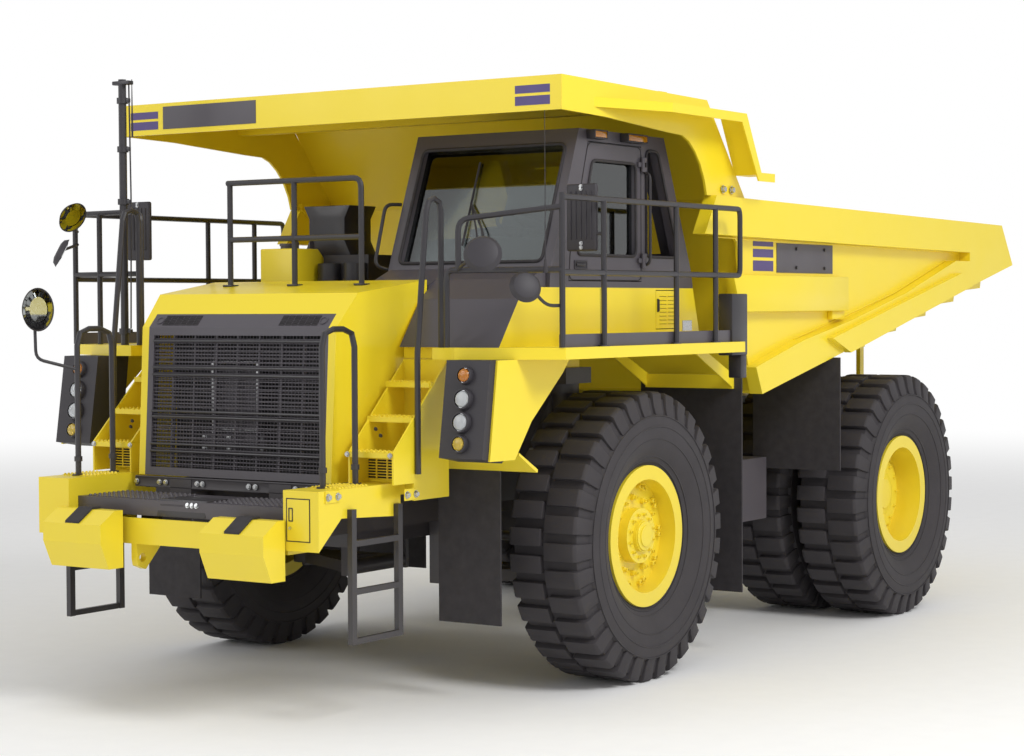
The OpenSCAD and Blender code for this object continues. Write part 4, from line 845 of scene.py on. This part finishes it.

# the louvred door in the base: pressed louvres in two columns, black strips under them as painted shade in
# their openings, a black handle and a blank plate
louvre = start_box("louvre", (1.8502, -0.055, -0.004), (1.858, 0.055, 0.004))
pick_faces(louvre, lambda middle, normal: normal.z > 0.9)
bpy.ops.transform.resize(value=(0.1, 0.9, 1), center_override=(1.8502, 0, 0.004))
done_editing()
set_of = [copy_to(louvre, "louvre", Matrix.Translation((0, y, 2.662 + row * 0.030))) for y in (0.500,
    0.630) for row in range(8)]
bpy.data.objects.remove(louvre)
louvre_set = one_piece("access_door_louvres", set_of)
fit(louvre_set, yellow_enamel, "access_door")
# black strips under the louvres: painted shade in the louvre openings
louvre_slot_shades = [start_box("slot", (1.8501, y - 0.052, 2.655 + row * 0.030),
    (1.8506, y + 0.052, 2.659 + row * 0.030)) for y in (0.500, 0.630) for row in range(8)]
pick_faces(louvre_slot_shades[0], lambda middle, normal: normal.x > 0.9)
bpy.ops.mesh.inset(thickness=0.0005)
done_editing()
fit(one_piece("access_door_slot_shade", louvre_slot_shades), black_rubber_and_shade, "access_door")
latch = start_box("access_door_handle", (1.851, 0.408, 2.745), (1.868, 0.428, 2.850))
pick_faces(latch, lambda middle, normal: normal.x > 0.9)
bpy.ops.transform.resize(value=(1, 0.6, 0.8))
done_editing()
round_edges(latch, 0.003)
fit(latch, black_rubber_and_shade, "access_door")
blank_plate = start_box("cab_base_blank_plate", (1.8505, 0.80, 2.60), (1.8525, 0.95, 2.68))
inset_faces(blank_plate, lambda middle, normal: normal.x > 0.9, 0.004, shift=(0.0006, 0, 0))
fit(blank_plate, zinc_plate)
seam = start_box("cab_base_seam", (1.8498, -0.42, 2.52), (1.8504, -0.414, 2.925))
inset_faces(seam, lambda middle, normal: normal.x > 0.9, 0.001)
fit(seam, black_rubber_and_shade)

# ---- the seats ----
# Air-suspended operator's seat and a trainer's seat: moulded pans on a pedestal, with foam
# cushions covered in dark woven cloth, sewn round the edges.
seat_cloth = new_finish("dark woven seat cloth")
place = add_node(seat_cloth, "ShaderNodeTexCoord", {}, {}).outputs["Object"]
warp = add_node(seat_cloth, "ShaderNodeTexWave", {"wave_type": "BANDS", "bands_direction": "X"},
    {"Vector": place, "Scale": 170.0})
weft = add_node(seat_cloth, "ShaderNodeTexWave", {"wave_type": "BANDS", "bands_direction": "Z"},
    {"Vector": place, "Scale": 170.0})
weave = add_node(seat_cloth, "ShaderNodeMath", {"operation": "ADD"},
    {0: warp.outputs["Fac"], 1: weft.outputs["Fac"]})
heather = add_node(seat_cloth, "ShaderNodeTexNoise", {}, {"Vector": place, "Scale": 260.0, "Detail": 2.0})
tone = add_node(seat_cloth, "ShaderNodeMix", {"data_type": "RGBA"},
    {0: heather.outputs["Fac"], 6: to_linear("#242327"), 7: to_linear("#46434b")})
relief = add_node(seat_cloth, "ShaderNodeBump", {},
    {"Height": weave.outputs[0], "Strength": 0.3, "Distance": 0.002})
shader = add_node(seat_cloth, "ShaderNodeBsdfPrincipled", {}, {
    "Base Color": tone.outputs[2], "Roughness": 0.9, "Sheen Weight": 0.3, "Normal": relief.outputs[0]})
add_node(seat_cloth, "ShaderNodeOutputMaterial", {}, {"Surface": shader.outputs[0]})


def cushion(name, low, high, crown, lean=0.0):
    """A foam cushion: a box whose sides pull in and whose middle stands up, leaning back by lean."""
    pad = start_box(name, low, high)
    pick_faces(pad, lambda middle, normal: True)
    bpy.ops.mesh.subdivide(number_cuts=5)
    done_editing()
    middle = [(a + b) / 2 for a, b in zip(low, high)]
    half = [(b - a) / 2 for a, b in zip(low, high)]
    thin = half.index(min(half))
    for vertex in pad.data.vertices:
        share = [(vertex.co[k] - middle[k]) / half[k] for k in range(3)]
        wide = [k for k in range(3) if k != thin]
        swell = (1 - share[wide[0]] ** 2) * (1 - share[wide[1]] ** 2)
        vertex.co[thin] += crown * swell * share[thin] - 0.012 * (1 - swell) * share[thin]
        for k in wide:
            vertex.co[k] -= 0.010 * share[k] * (1 - abs(share[thin])) * (1 - share[wide[0] if k == wide[1] else wide[1]] ** 2)
    pad.data.transform(Matrix.Translation((middle[0], low[1], low[2])) @ Matrix.Rotation(-lean, 4, "X")
                       @ Matrix.Translation((-middle[0], -low[1], -low[2])))
    select_only(pad)
    smooth = pad.modifiers.new("rounding", "SUBSURF")
    smooth.levels = smooth.render_levels = 2
    bpy.ops.object.modifier_apply(modifier="rounding")
    bpy.ops.object.shade_smooth()
    return pad


for x, who in ((1.30, "operator"), (0.76, "trainer")):
    seat_pad = cushion("seat_cushion_" + who, (x - 0.215, -0.235, 3.315), (x + 0.215, 0.20, 3.405), 0.016)
    back_pad = cushion("seat_back_" + who, (x - 0.205, 0.175, 3.40), (x + 0.205, 0.255, 3.80), 0.014, 0.38)
    head_pad = cushion("seat_head_" + who, (x - 0.11, 0.325, 3.785), (x + 0.11, 0.385, 3.885), 0.008, 0.38)
    for pad in (seat_pad, back_pad, head_pad):
        fit(pad, seat_cloth)
        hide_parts("operator_seats")
    pan = start_box("seat_pan_" + who, (x - 0.20, -0.20, 2.982), (x + 0.20, 0.18, 3.31))
    pick_faces(pan, lambda middle, normal: normal.z > 0.9)
    bpy.ops.transform.resize(value=(1.08, 1.08, 1))
    done_editing()
    round_edges(pan, 0.02, 3)
    shell_ = start_box("back_shell", (x - 0.19, 0.262, 3.41), (x + 0.19, 0.282, 3.78))
    shell_.data.transform(Matrix.Translation((0, 0.19, 3.41)) @ Matrix.Rotation(-0.38, 4,
        "X") @ Matrix.Translation((0, -0.19, -3.41)))
    round_edges(shell_, 0.008, 2)
    pan = one_piece("seat_pan_" + who, [pan, shell_])
    fit(pan, dark_moulding)
    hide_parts("operator_seats")

# ---- the mirrors ----
# Moulded black shells with silvered glass behind. The flat ones carry stiffening ribs and hang
# on zinc bolts beside the rails, the convex ones stand on bent steel arms.
mirror_silver = metal("silvered mirror glass", "#a3a6a4", 0.05, 8.0)
for side, name in ((1, "left"), (-1, "right")):
    shell = start_box("mirror_shell", (1.975, -1.078, 3.180), (2.222, -1.040, 3.650))
    round_edges(shell, 0.016, 3)
    parts = [shell]
    for i in range(5):
        x = 2.010 + i * 0.042
        rib = start_box("rib", (x, -1.086, 3.26), (x + 0.010, -1.0775, 3.60))
        pick_faces(rib, lambda middle, normal: normal.y < -0.9)
        bpy.ops.transform.resize(value=(0.5, 1, 0.97))
        done_editing()
        parts.append(rib)
    parts.append(bent_tube("arm", [(2.10, -1.06, 3.30), (2.20, -1.06, 3.30), (2.262, -1.06, 3.30)], 0.012))
    shell = one_piece("mirror_shell", parts)
    pane = start_box("mirror_pane", (1.990, -1.0402, 3.197), (2.207, -1.0375, 3.633))
    round_edges(pane, 0.0012)
    if side < 0:
        shell_right, pane_right = mirror_twin(shell, "mirror_shell_right"), mirror_twin(pane,
            "mirror_pane_right")
        bpy.data.objects.remove(shell)
        bpy.data.objects.remove(pane)
        shell, pane = shell_right, pane_right
    shell.name, pane.name = "mirror_shell_" + name, "mirror_pane_" + name
    fit(shell, dark_moulding)
    fit(pane, mirror_silver)
    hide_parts("mirrors")
    bolts("mirror_bolts_" + name, [(side * 2.10, -1.0795, z) for z in (3.205, 3.235, 3.615, 3.632)],
        (0, -1, 0), 0.7)

round_mirrors = (("high_left", (1.940, -2.060, 3.150), 0.130, 120, 20),
    ("wide_left", (2.150, -1.860, 2.930), 0.110, 140, 20),
                 ("high_right", (-2.060, -1.850, 3.505), 0.125, -6, 28), ("wide_right",
                     (-2.130, -1.900, 3.230), 0.120, 46, 27),
                 ("low_right", (-1.222, -3.040, 2.790), 0.155, 0, 0))
for name, centre, radius, turn, tip in round_mirrors:
    turn, tip = math.radians(turn), math.radians(tip)
    facing = Vector((math.cos(turn) * math.cos(tip), math.sin(turn) * math.cos(tip), -math.sin(tip)))
    back = Vector(centre) - facing * 0.020
    bowl = start_round("mirror_bowl_" + name, back, back + facing * 0.034, radius * 0.80, 40, radius)
    inset_faces(bowl, lambda middle, normal, axis=facing: normal.dot(axis) > 0.97, radius * 0.07,
        shift=tuple(facing * -0.004))
    inset_faces(bowl, lambda middle, normal, axis=facing: normal.dot(axis) < -0.97, radius * 0.30,
        shift=tuple(facing * -0.012))
    bpy.ops.object.shade_smooth_by_angle(angle=math.radians(35))
    fit(bowl, dark_moulding)
    front = back + facing * 0.0305
    disc = start_round("mirror_glass_" + name, front, front + facing * 0.003, radius * 0.93, 40,
        radius * 0.80)
    inset_faces(disc, lambda middle, normal, axis=facing: normal.dot(axis) > 0.97, radius * 0.35,
        shift=tuple(facing * 0.003))
    bpy.ops.object.shade_smooth_by_angle(angle=math.radians(40))
    fit(disc, mirror_silver)

# arms of the convex mirrors, clamped to the rails
arms = {"mirror_arm_high_left": [(1.60, -1.86, 3.044), (1.72, -1.98, 3.08), (1.925, -2.042, 3.16)],
        "mirror_arm_wide_left": [(2.260, -1.590, 2.80), (2.225, -1.72, 2.80), (2.158, -1.840, 2.935)],
        "mirror_arm_high_right": [(-2.260, -1.590, 3.40), (-2.20, -1.72, 3.44), (-2.085, -1.847, 3.515)],
        "mirror_arm_wide_right": [(-2.260, -1.590, 3.30), (-2.22, -1.76, 3.26), (-2.142, -1.912, 3.238)],
        "mirror_arm_low_right": [(-1.120, -2.750, 2.36), (-1.246, -3.03, 2.44), (-1.246, -3.04, 2.76)]}
for name, route in arms.items():
    fit(bent_tube(name, route, 0.012, 0.06), black_enamel)

# ---- the mast and aerials ----
# Steel tube mast with clamped brackets, a folded working light bracket and two whip aerials.
mast_bits = []
for z in (2.62, 3.61, 4.01, 4.38):
    collar = start_round("collar", (-1.6, -1.76, z - 0.022), (-1.6, -1.76, z + 0.022), 0.043, 24)
    inset_faces(collar, lambda middle, normal: abs(normal.z) > 0.9, 0.006)
    mast_bits.append(collar)
    lug = start_box("lug", (-1.570, -1.772, z - 0.016), (-1.525, -1.748, z + 0.016))
    round_edges(lug, 0.004)
    mast_bits.append(lug)
head = start_box("head", (-1.68, -1.79, 4.500), (-1.51, -1.73, 4.530))
round_edges(head, 0.006)
mast_bits += [head, bent_tube("stay", [(-1.532, -1.76, 4.50), (-1.52, -1.76, 3.62), (-1.535, -1.76, 2.64)],
    0.006, 0.1)]
fit(one_piece("mast_fittings", mast_bits), black_enamel)
aerial = start_round("aerial_right", (-1.50, -1.76, 4.10), (-1.50, -1.76, 4.538), 0.008, 12, 0.003)
pick_faces(aerial, lambda middle, normal: normal.z > 0.9)
bpy.ops.mesh.bevel(offset=0.001)
done_editing()
fit(aerial, black_rubber_and_shade)
whip = start_round("aerial_left", (2.262, -1.79, 3.10), (2.262, -1.79, 4.10), 0.004, 10, 0.0018)
foot = start_round("foot", (2.262, -1.79, 3.02), (2.262, -1.79, 3.11), 0.016, 20, 0.008)
pick_faces(foot, lambda middle, normal: normal.z > 0.9)
bpy.ops.mesh.bevel(offset=0.002)
done_editing()
clip = start_box("clip", (2.254, -1.79, 3.030), (2.274, -1.772, 3.060))
fit(one_piece("aerial_left", [whip, foot, clip]), black_rubber_and_shade)

# ---- the wheels: nuts, hub covers and sidewall rings ----
# Three-piece rims clamped by pairs of M24 nuts on the front cleats and a ring of studs at the
# rear, painted over with the wheel. The tyres' sidewalls carry raised rings from the mould.
nut = start_round("nut", (0, 0, 0.003), (0, 0, 0.028), 0.024, 6)
pick_faces(nut, lambda middle, normal: normal.z > 0.9)
bpy.ops.mesh.bevel(offset=0.003)
bpy.ops.mesh.inset(thickness=0.008)
bpy.ops.mesh.extrude_region_move(TRANSFORM_OT_translate={"value": (0, 0, 0.012)})
done_editing()
nut_base = start_round("base", (0, 0, 0), (0, 0, 0.004), 0.029, 20)
nut_pattern = one_piece("nut", [nut, nut_base])
outward = Vector((1, 0, 0)).to_track_quat("Z", "Y").to_matrix().to_4x4()


def wheel_nuts(name, x, axle_y, places, body, size=1.0):
    """Nuts at (angle in degrees, radius) round a left wheel, and their mirror on the right one."""
    group = []
    for angle, radius in places:
        at = Vector((x, axle_y + radius * math.cos(math.radians(angle)),
            1.080 + radius * math.sin(math.radians(angle))))
        group.append(copy_to(nut_pattern, name, Matrix.Translation(at) @ outward @ Matrix.Diagonal((size,
            size, size, 1))))
    left = one_piece(name + "_left", group)
    right = mirror_twin(left, name + "_right")
    fit(left, yellow_enamel, body + "_left")
    fit(right, yellow_enamel, body + "_right")


wheel_nuts("cleat_nuts", 1.8615, 0.0, [(i * 36 + d, 0.372) for i in range(10) for d in (-4.0, 4.0)],
    "front_wheel", 0.85)
wheel_nuts("hub_nuts", 1.8905, 0.0, [(i * 30, 0.285) for i in range(12)], "front_wheel", 0.6)
wheel_nuts("hub_studs", 1.9425, 0.0, [(i * 30 + 15, 0.162) for i in range(12)], "front_wheel", 0.5)
wheel_nuts("rear_studs", 1.909, 4.300, [(i * 15, 0.352) for i in range(24)], "rear_wheels", 0.62)
wheel_nuts("rear_cover_nuts", 1.969, 4.300, [(i * 30, 0.262) for i in range(12)], "rear_wheels", 0.45)
bpy.data.objects.remove(nut_pattern)

for name, x, y, radius, body in (("hub_cap", 1.9715, 0.0, 0.112, "front_wheel"),
    ("final_drive_cover", 1.9685, 4.300, 0.190, "rear_wheels")):
    cover = start_round(name, (x, y, 1.080), (x + 0.012, y, 1.080), radius, 48, radius * 0.97)
    pick_faces(cover, lambda middle, normal: normal.x > 0.9)
    bpy.ops.mesh.inset(thickness=radius * 0.25)
    bpy.ops.mesh.extrude_region_move(TRANSFORM_OT_translate={"value": (0.010, 0, 0)})
    bpy.ops.mesh.inset(thickness=radius * 0.10)
    done_editing()
    round_edges(cover, 0.003)
    twin = mirror_twin(cover, name + "_right")
    cover.name = name + "_left"
    fit(cover, yellow_enamel, body + "_left")
    fit(twin, yellow_enamel, body + "_right")


def sidewall_rings(name, x, y, outside, body):
    """Moulded rings on one sidewall of a left tyre, and their mirror on the right one."""
    rings = []
    for radius, reach, thick in ((0.900, 0.3222, 0.005), (0.820, 0.3285, 0.008), (0.726, 0.3165, 0.005),
        (0.596, 0.2545, 0.006), (0.560, 0.2350, 0.005)):
        bpy.ops.object.select_all(action="DESELECT")
        bpy.ops.mesh.primitive_torus_add(location=(x + outside * reach, y, 1.080),
            rotation=(0, math.pi / 2, 0), major_segments=96,
                                         minor_segments=6, major_radius=radius, minor_radius=thick)
        bpy.ops.object.transform_apply(location=True, rotation=True)
        ring = bpy.context.object
        pick_faces(ring, lambda middle, normal: True)
        bpy.ops.transform.resize(value=(0.7, 1, 1), center_override=(x + outside * reach, y, 1.080))
        done_editing()
        rings.append(ring)
    left = one_piece(name + "_left", rings)
    select_only(left)
    bpy.ops.object.shade_smooth()
    right = mirror_twin(left, name + "_right")
    fit(left, tyre_rubber, body + "_left")
    fit(right, tyre_rubber, body + "_right")


tyre_rubber = new_finish("tyre rubber")
place = add_node(tyre_rubber, "ShaderNodeTexCoord", {}, {}).outputs["Object"]
# pebbled skin of the mould and clouds of dry dust, 0.3 m across
pebble = add_node(tyre_rubber, "ShaderNodeTexNoise", {}, {"Vector": place, "Scale": 90.0, "Detail": 3.0})
cloud = add_node(tyre_rubber, "ShaderNodeTexNoise", {},
    {"Vector": place, "Scale": 3.2, "Detail": 8.0, "Roughness": 0.65})
tone = add_node(tyre_rubber, "ShaderNodeMix", {"data_type": "RGBA"},
    {0: cloud.outputs["Fac"], 6: to_linear("#2b282b"), 7: to_linear("#413d40")})
relief = add_node(tyre_rubber, "ShaderNodeBump", {},
    {"Height": pebble.outputs["Fac"], "Strength": 0.25, "Distance": 0.003})
shader = add_node(tyre_rubber, "ShaderNodeBsdfPrincipled", {},
    {"Base Color": tone.outputs[2], "Roughness": 0.72, "Normal": relief.outputs[0]})
add_node(tyre_rubber, "ShaderNodeOutputMaterial", {}, {"Surface": shader.outputs[0]})
sidewall_rings("front_outer_rings", 1.7575, 0.0, 1, "front_wheel")
sidewall_rings("front_inner_rings", 1.7575, 0.0, -1, "front_wheel")
sidewall_rings("rear_outer_rings", 1.9085, 4.300, 1, "rear_wheels")

# ---- the tyres ----
# Rock-service tyres: a plain carcass with two staggered rows of deep moulded lugs that meet
# the shoulders. Each is moulded in one piece and mounted on its rim.
def spin_about_axle(name, outline, closed, turn, steps):
    """An outline of (radius, place across) spun about X through turn radians."""
    bpy.ops.object.select_all(action="DESELECT")
    bpy.ops.mesh.primitive_circle_add(vertices=len(outline), radius=1,
        fill_type="NOTHING" if closed else "NGON")
    piece = bpy.context.object
    piece.name = name
    for vertex, (radius, across) in zip(piece.data.vertices, outline):
        vertex.co = (across, radius * math.sin(-turn / 2),
            radius * math.cos(turn / 2)) if not closed else (across, 0, radius)
    bpy.ops.object.mode_set(mode="EDIT")
    bpy.ops.mesh.select_all(action="SELECT")
    bpy.ops.mesh.spin(steps=steps, angle=-turn, center=(0, 0, 0), axis=(1, 0, 0))
    bpy.ops.mesh.select_all(action="SELECT")
    bpy.ops.mesh.remove_doubles(threshold=0.0004)
    bpy.ops.mesh.normals_make_consistent(inside=False)
    done_editing()
    return piece


LUGS = 34
wall_line = []
for i in range(7):
    t = i / 6
    wall_line.append((0.536 + (0.975 - 0.536) * t,
        0.2155 + (0.297 - 0.2155) * t + (0.325 - 0.25625) * math.sin(math.pi * t)))
half = [(0.4455, 0.2155)] + wall_line[:6] + [(0.917, 0.293), (1.030, 0.263), (1.038, 0.225)]
carcass = spin_about_axle("carcass", half + [(r, -a) for r, a in reversed(half)], True, 2 * math.pi, 96)
select_only(carcass)
bpy.ops.object.shade_smooth_by_angle(angle=math.radians(35))
lug_outline = [(1.008, 0.014), (1.080, 0.014), (1.080, 0.261), (1.064, 0.285), (0.975, 0.297), wall_line[5],
    (0.887, 0.245)]
lug = spin_about_axle("lug", lug_outline, False, 2 * math.pi / LUGS * 0.64, 2)
round_edges(lug, 0.006)
lug_ring = []
for row in (0, 1):
    for i in range(LUGS):
        turn = Matrix.Rotation((i + row / 2) * 2 * math.pi / LUGS, 4, "X")
        lug_ring.append(copy_to(lug, "lug", turn @ Matrix.Diagonal((-1 if row else 1, 1, 1, 1))))
for piece in lug_ring[LUGS:]:
    piece.data.flip_normals()
bpy.data.objects.remove(lug)
tyre_pattern = one_piece("tyre", [carcass] + lug_ring)


def mounted_tyres(name, places, node, body):
    """One or two tyres at (x, y) on an axle, in place of the solid node on each side."""
    for side, word in ((1, "_left"), (-1, "_right")):
        copies = [copy_to(tyre_pattern, name, Matrix.Translation((side * x, y, 1.080))) for x, y in places]
        tyres = one_piece(name + word, copies)
        fit(tyres, tyre_rubber, body + word)
        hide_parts(node + word)


mounted_tyres("front_tyre_with_lugs", [(1.7575, 0.0)], "front_tyre", "front_wheel")
mounted_tyres("rear_tyres_with_lugs", [(1.1715, 4.300), (1.9085, 4.300)], "rear_tyres", "rear_wheels")
bpy.data.objects.remove(tyre_pattern)

# ---- the deck's rails ----
# Bent steel tube, black enamelled, welded at the joints and bolted through feet: loops round
# the deck's corners, a guard over the hood and rails behind the lamp pods.
TUBE = 0.021
for side, word in ((1, "left"), (-1, "right")):
    tubes = []
    for z in (3.0255, 3.5355):
        tubes.append([(side * 2.275, -1.08, z), (side * 2.275, -1.60, z)])
    tubes.append([(side * 2.275, -1.60, 2.517), (side * 2.275, -1.60, 3.565)])
    tubes.append([(side * 2.275, 0.88, 3.5355), (side * 2.275, 0.955, 3.5355),
        (side * 2.275, 0.955, 3.0255), (side * 2.275, 0.88, 3.0255)])
    if side > 0:
        tubes.append([(1.50, -1.86, 2.517), (1.50, -1.86, 3.044), (1.62, -1.86, 3.044),
            (2.275, -1.60, 3.044)])
        tubes.append([(1.60, -1.86, 3.044), (1.60, -1.86, 3.39), (2.275, -1.60, 3.47)])
    else:
        tubes.append([(-1.49, -1.69, 2.517), (-1.49, -1.69, 3.5355), (-2.275, -1.60, 3.5355)])
        tubes.append([(-1.49, -1.69, 3.06), (-2.275, -1.60, 3.06)])
        tubes.append([(-1.98, -1.634, 2.517), (-1.98, -1.634, 3.5355)])
    fit(one_piece("deck_rails_" + word, [bent_tube("tube", route, TUBE, 0.08) for route in tubes]),
        black_enamel)
hood_rail = [bent_tube("tube", [(-0.64, -1.66, 3.72), (0.615, -1.66, 3.72), (0.615, -1.66, 2.957)], TUBE,
    0.07),
             bent_tube("tube", [(-0.615, -1.66, 3.30), (0.615, -1.66, 3.30)], TUBE)]
hood_rail += [bent_tube("tube", [(x, -1.66, 2.957), (x, -1.66, 3.72)], TUBE) for x in (-0.615, 0.0)]
for x in (-0.615, 0.0, 0.615):
    foot = start_box("foot", (x - 0.045, -1.70, 2.951), (x + 0.045, -1.62, 2.966))
    round_edges(foot, 0.004)
    hood_rail.append(foot)
fit(one_piece("hood_rail", hood_rail), black_enamel)
collars = []
for side in (-1, 1):
    for y in (-2.75, -2.40):
        collar = start_round("collar", (side * 1.12, y, 1.70), (side * 1.12, y, 1.735), 0.029, 24)
        inset_faces(collar, lambda middle, normal: abs(normal.z) > 0.9, 0.004)
        collars.append(collar)
fit(one_piece("hoop_collars", collars), black_enamel)

# ---- the intake and the oil tank ----
# Air cleaner with a pressed, flared intake and two dust canisters in black. The hydraulic oil
# tank is welded plate with a sloped shoulder, a screwed filler cap and two lifting eyes.
intake = start_box("air_intake", (-0.760, -0.595, 3.180), (-0.270, -0.255, 3.590))
pick_faces(intake, lambda middle, normal: abs(normal.x) > 0.9 or abs(normal.y) > 0.9)
bpy.ops.mesh.subdivide(number_cuts=2)
done_editing()
for vertex in intake.data.vertices:
    share = (vertex.co.z - 3.180) / 0.410
    reach = 0.72 if 0.3 < share < 0.9 else 1.0
    vertex.co.x = -0.55 + (vertex.co.x + 0.515) * (reach if share < 0.9 else 0.94)
    if 0.5 < share < 0.9:
        vertex.co.z = 3.490
inset_faces(intake, lambda middle, normal: normal.z > 0.9, 0.02, sink=(0, 0, -0.03))
round_edges(intake, 0.006)
canisters = [intake]
for x in (-0.42, -0.17):
    can = start_round("canister", (x, -0.72, 2.575), (x, -0.72, 3.135), 0.095, 40)
    inset_faces(can, lambda middle, normal: abs(normal.z) > 0.9, 0.02, sink=(0, 0, 0))
    bpy.ops.object.shade_smooth_by_angle(angle=math.radians(35))
    canisters.append(can)
    for z in (2.70, 3.00):
        canisters.append(start_round("band", (x, -0.72, z), (x, -0.72, z + 0.025), 0.099, 40))
fit(one_piece("air_intake", canisters), black_enamel)

tank = start_box("oil_tank_shell", (-0.880, -1.010, 2.5155), (-0.530, -0.600, 3.250))
pick_faces(tank, lambda middle, normal: normal.z > 0.9)
bpy.ops.mesh.subdivide(number_cuts=1)
done_editing()
for vertex in tank.data.vertices:
    if vertex.co.y > -0.61 and vertex.co.z > 3.2:
        vertex.co.z = 3.130
    elif -0.9 < vertex.co.y < -0.7 and vertex.co.z > 3.2:
        vertex.co.y = -0.720
round_edges(tank, 0.012, 3)
fit(tank, yellow_enamel)
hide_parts("oil_tank")
cap = [start_round("cap", (-0.72, -0.88, 3.245), (-0.72, -0.88, 3.275), 0.048, 32),
    start_round("cap", (-0.72, -0.88, 3.272), (-0.72, -0.88, 3.292), 0.056, 12)]
for y in (-0.96, -0.77):
    eye = start_round("eye", (-0.566, y, 3.285), (-0.556, y, 3.285), 0.030, 24)
    cap += [eye, start_box("eye_foot", (-0.567, y - 0.030, 3.248), (-0.555, y + 0.030, 3.285))]
for piece in cap:
    inset_faces(piece, lambda middle, normal: normal.z > 0.9, 0.003)
fit(one_piece("oil_tank_fittings", cap), grey_enamel)

# ---- the body's side boxes ----
# A folded box stiffener under each top rail with an end gusset, seam welded to the side plate.
side_box = start_box("body_side_box", (2.0095, 1.300, 2.744), (2.100, 3.290, 3.035))
for vertex in side_box.data.vertices:
    if vertex.co.y < 2 and vertex.co.z > 3:
        vertex.co.y = 1.180
gusset = start_box("gusset", (2.0095, 3.050, 2.670), (2.060, 3.290, 2.746))
side_box = one_piece("body_side_box", [side_box, gusset])
round_edges(side_box, 0.006)
twin = mirror_twin(side_box, "body_side_box_right")
side_box.name = "body_side_box_left"
for piece in (side_box, twin):
    fit(piece, yellow_enamel, "dump_body")

# ---- the bumper's chock straps, step lid and the grille's guard bars ----
# Webbing straps hold the wheel chocks down. The step in the middle has a raised folded lid, and
# paired round bars are welded across the grille's front.
strap = start_box("chock_strap", (0.660, -3.214, 1.314), (0.790, -3.000, 1.330))
pick_faces(strap, lambda middle, normal: abs(normal.z) > 0.9)
bpy.ops.mesh.subdivide(number_cuts=1)
done_editing()
for vertex in strap.data.vertices:
    top = vertex.co.z > 1.32
    if vertex.co.y > -3.15:
        if vertex.co.y < -3.05:
            vertex.co.y = -3.081
        vertex.co.z = 1.416 if top else 1.402
left_strap = copy_to(strap, "chock_strap", Matrix.Identity(4))
webbing = one_piece("chock_webbing", [left_strap, mirror_twin(strap, "chock_strap_right")])
bpy.data.objects.remove(strap)
fit(webbing, black_rubber_and_shade)

lid = start_box("step_lid", (-0.220, -2.910, 1.362), (0.220, -2.660, 1.482))
for vertex in lid.data.vertices:
    if vertex.co.y < -2.8 and vertex.co.z > 1.4:
        vertex.co.y = -2.880
    elif vertex.co.y > -2.8 and vertex.co.z < 1.4:
        vertex.co.z = 1.440
round_edges(lid, 0.006)
fit(lid, black_enamel)
guard = []
for z in (1.767, 1.818, 2.015, 2.054, 2.317, 2.369, 2.560):
    y = grille_y(z) + 0.002
    guard.append(bent_tube("bar", [(-0.80, y + 0.03, z), (-0.79, y, z), (0.79, y, z), (0.80, y + 0.03, z)],
        0.010, 0.02))
fit(one_piece("grille_guard_bars", guard), black_enamel)

# ---- the box behind the deck ----
# Small pressed steel housing for the washer's bottle, bolted to the deck's rear edge.
housing = start_box("deck_side_box", (2.145, 0.838, 2.410), (2.270, 1.090, 2.885))
leg = start_box("leg", (2.150, 0.992, 2.232), (2.265, 1.084, 2.412))
for piece in (housing, leg):
    round_edges(piece, 0.010, 2)
fit(one_piece("deck_side_box", [housing, leg]), black_enamel)

bpy.data.objects.remove(bolt_pattern)

low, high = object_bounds()
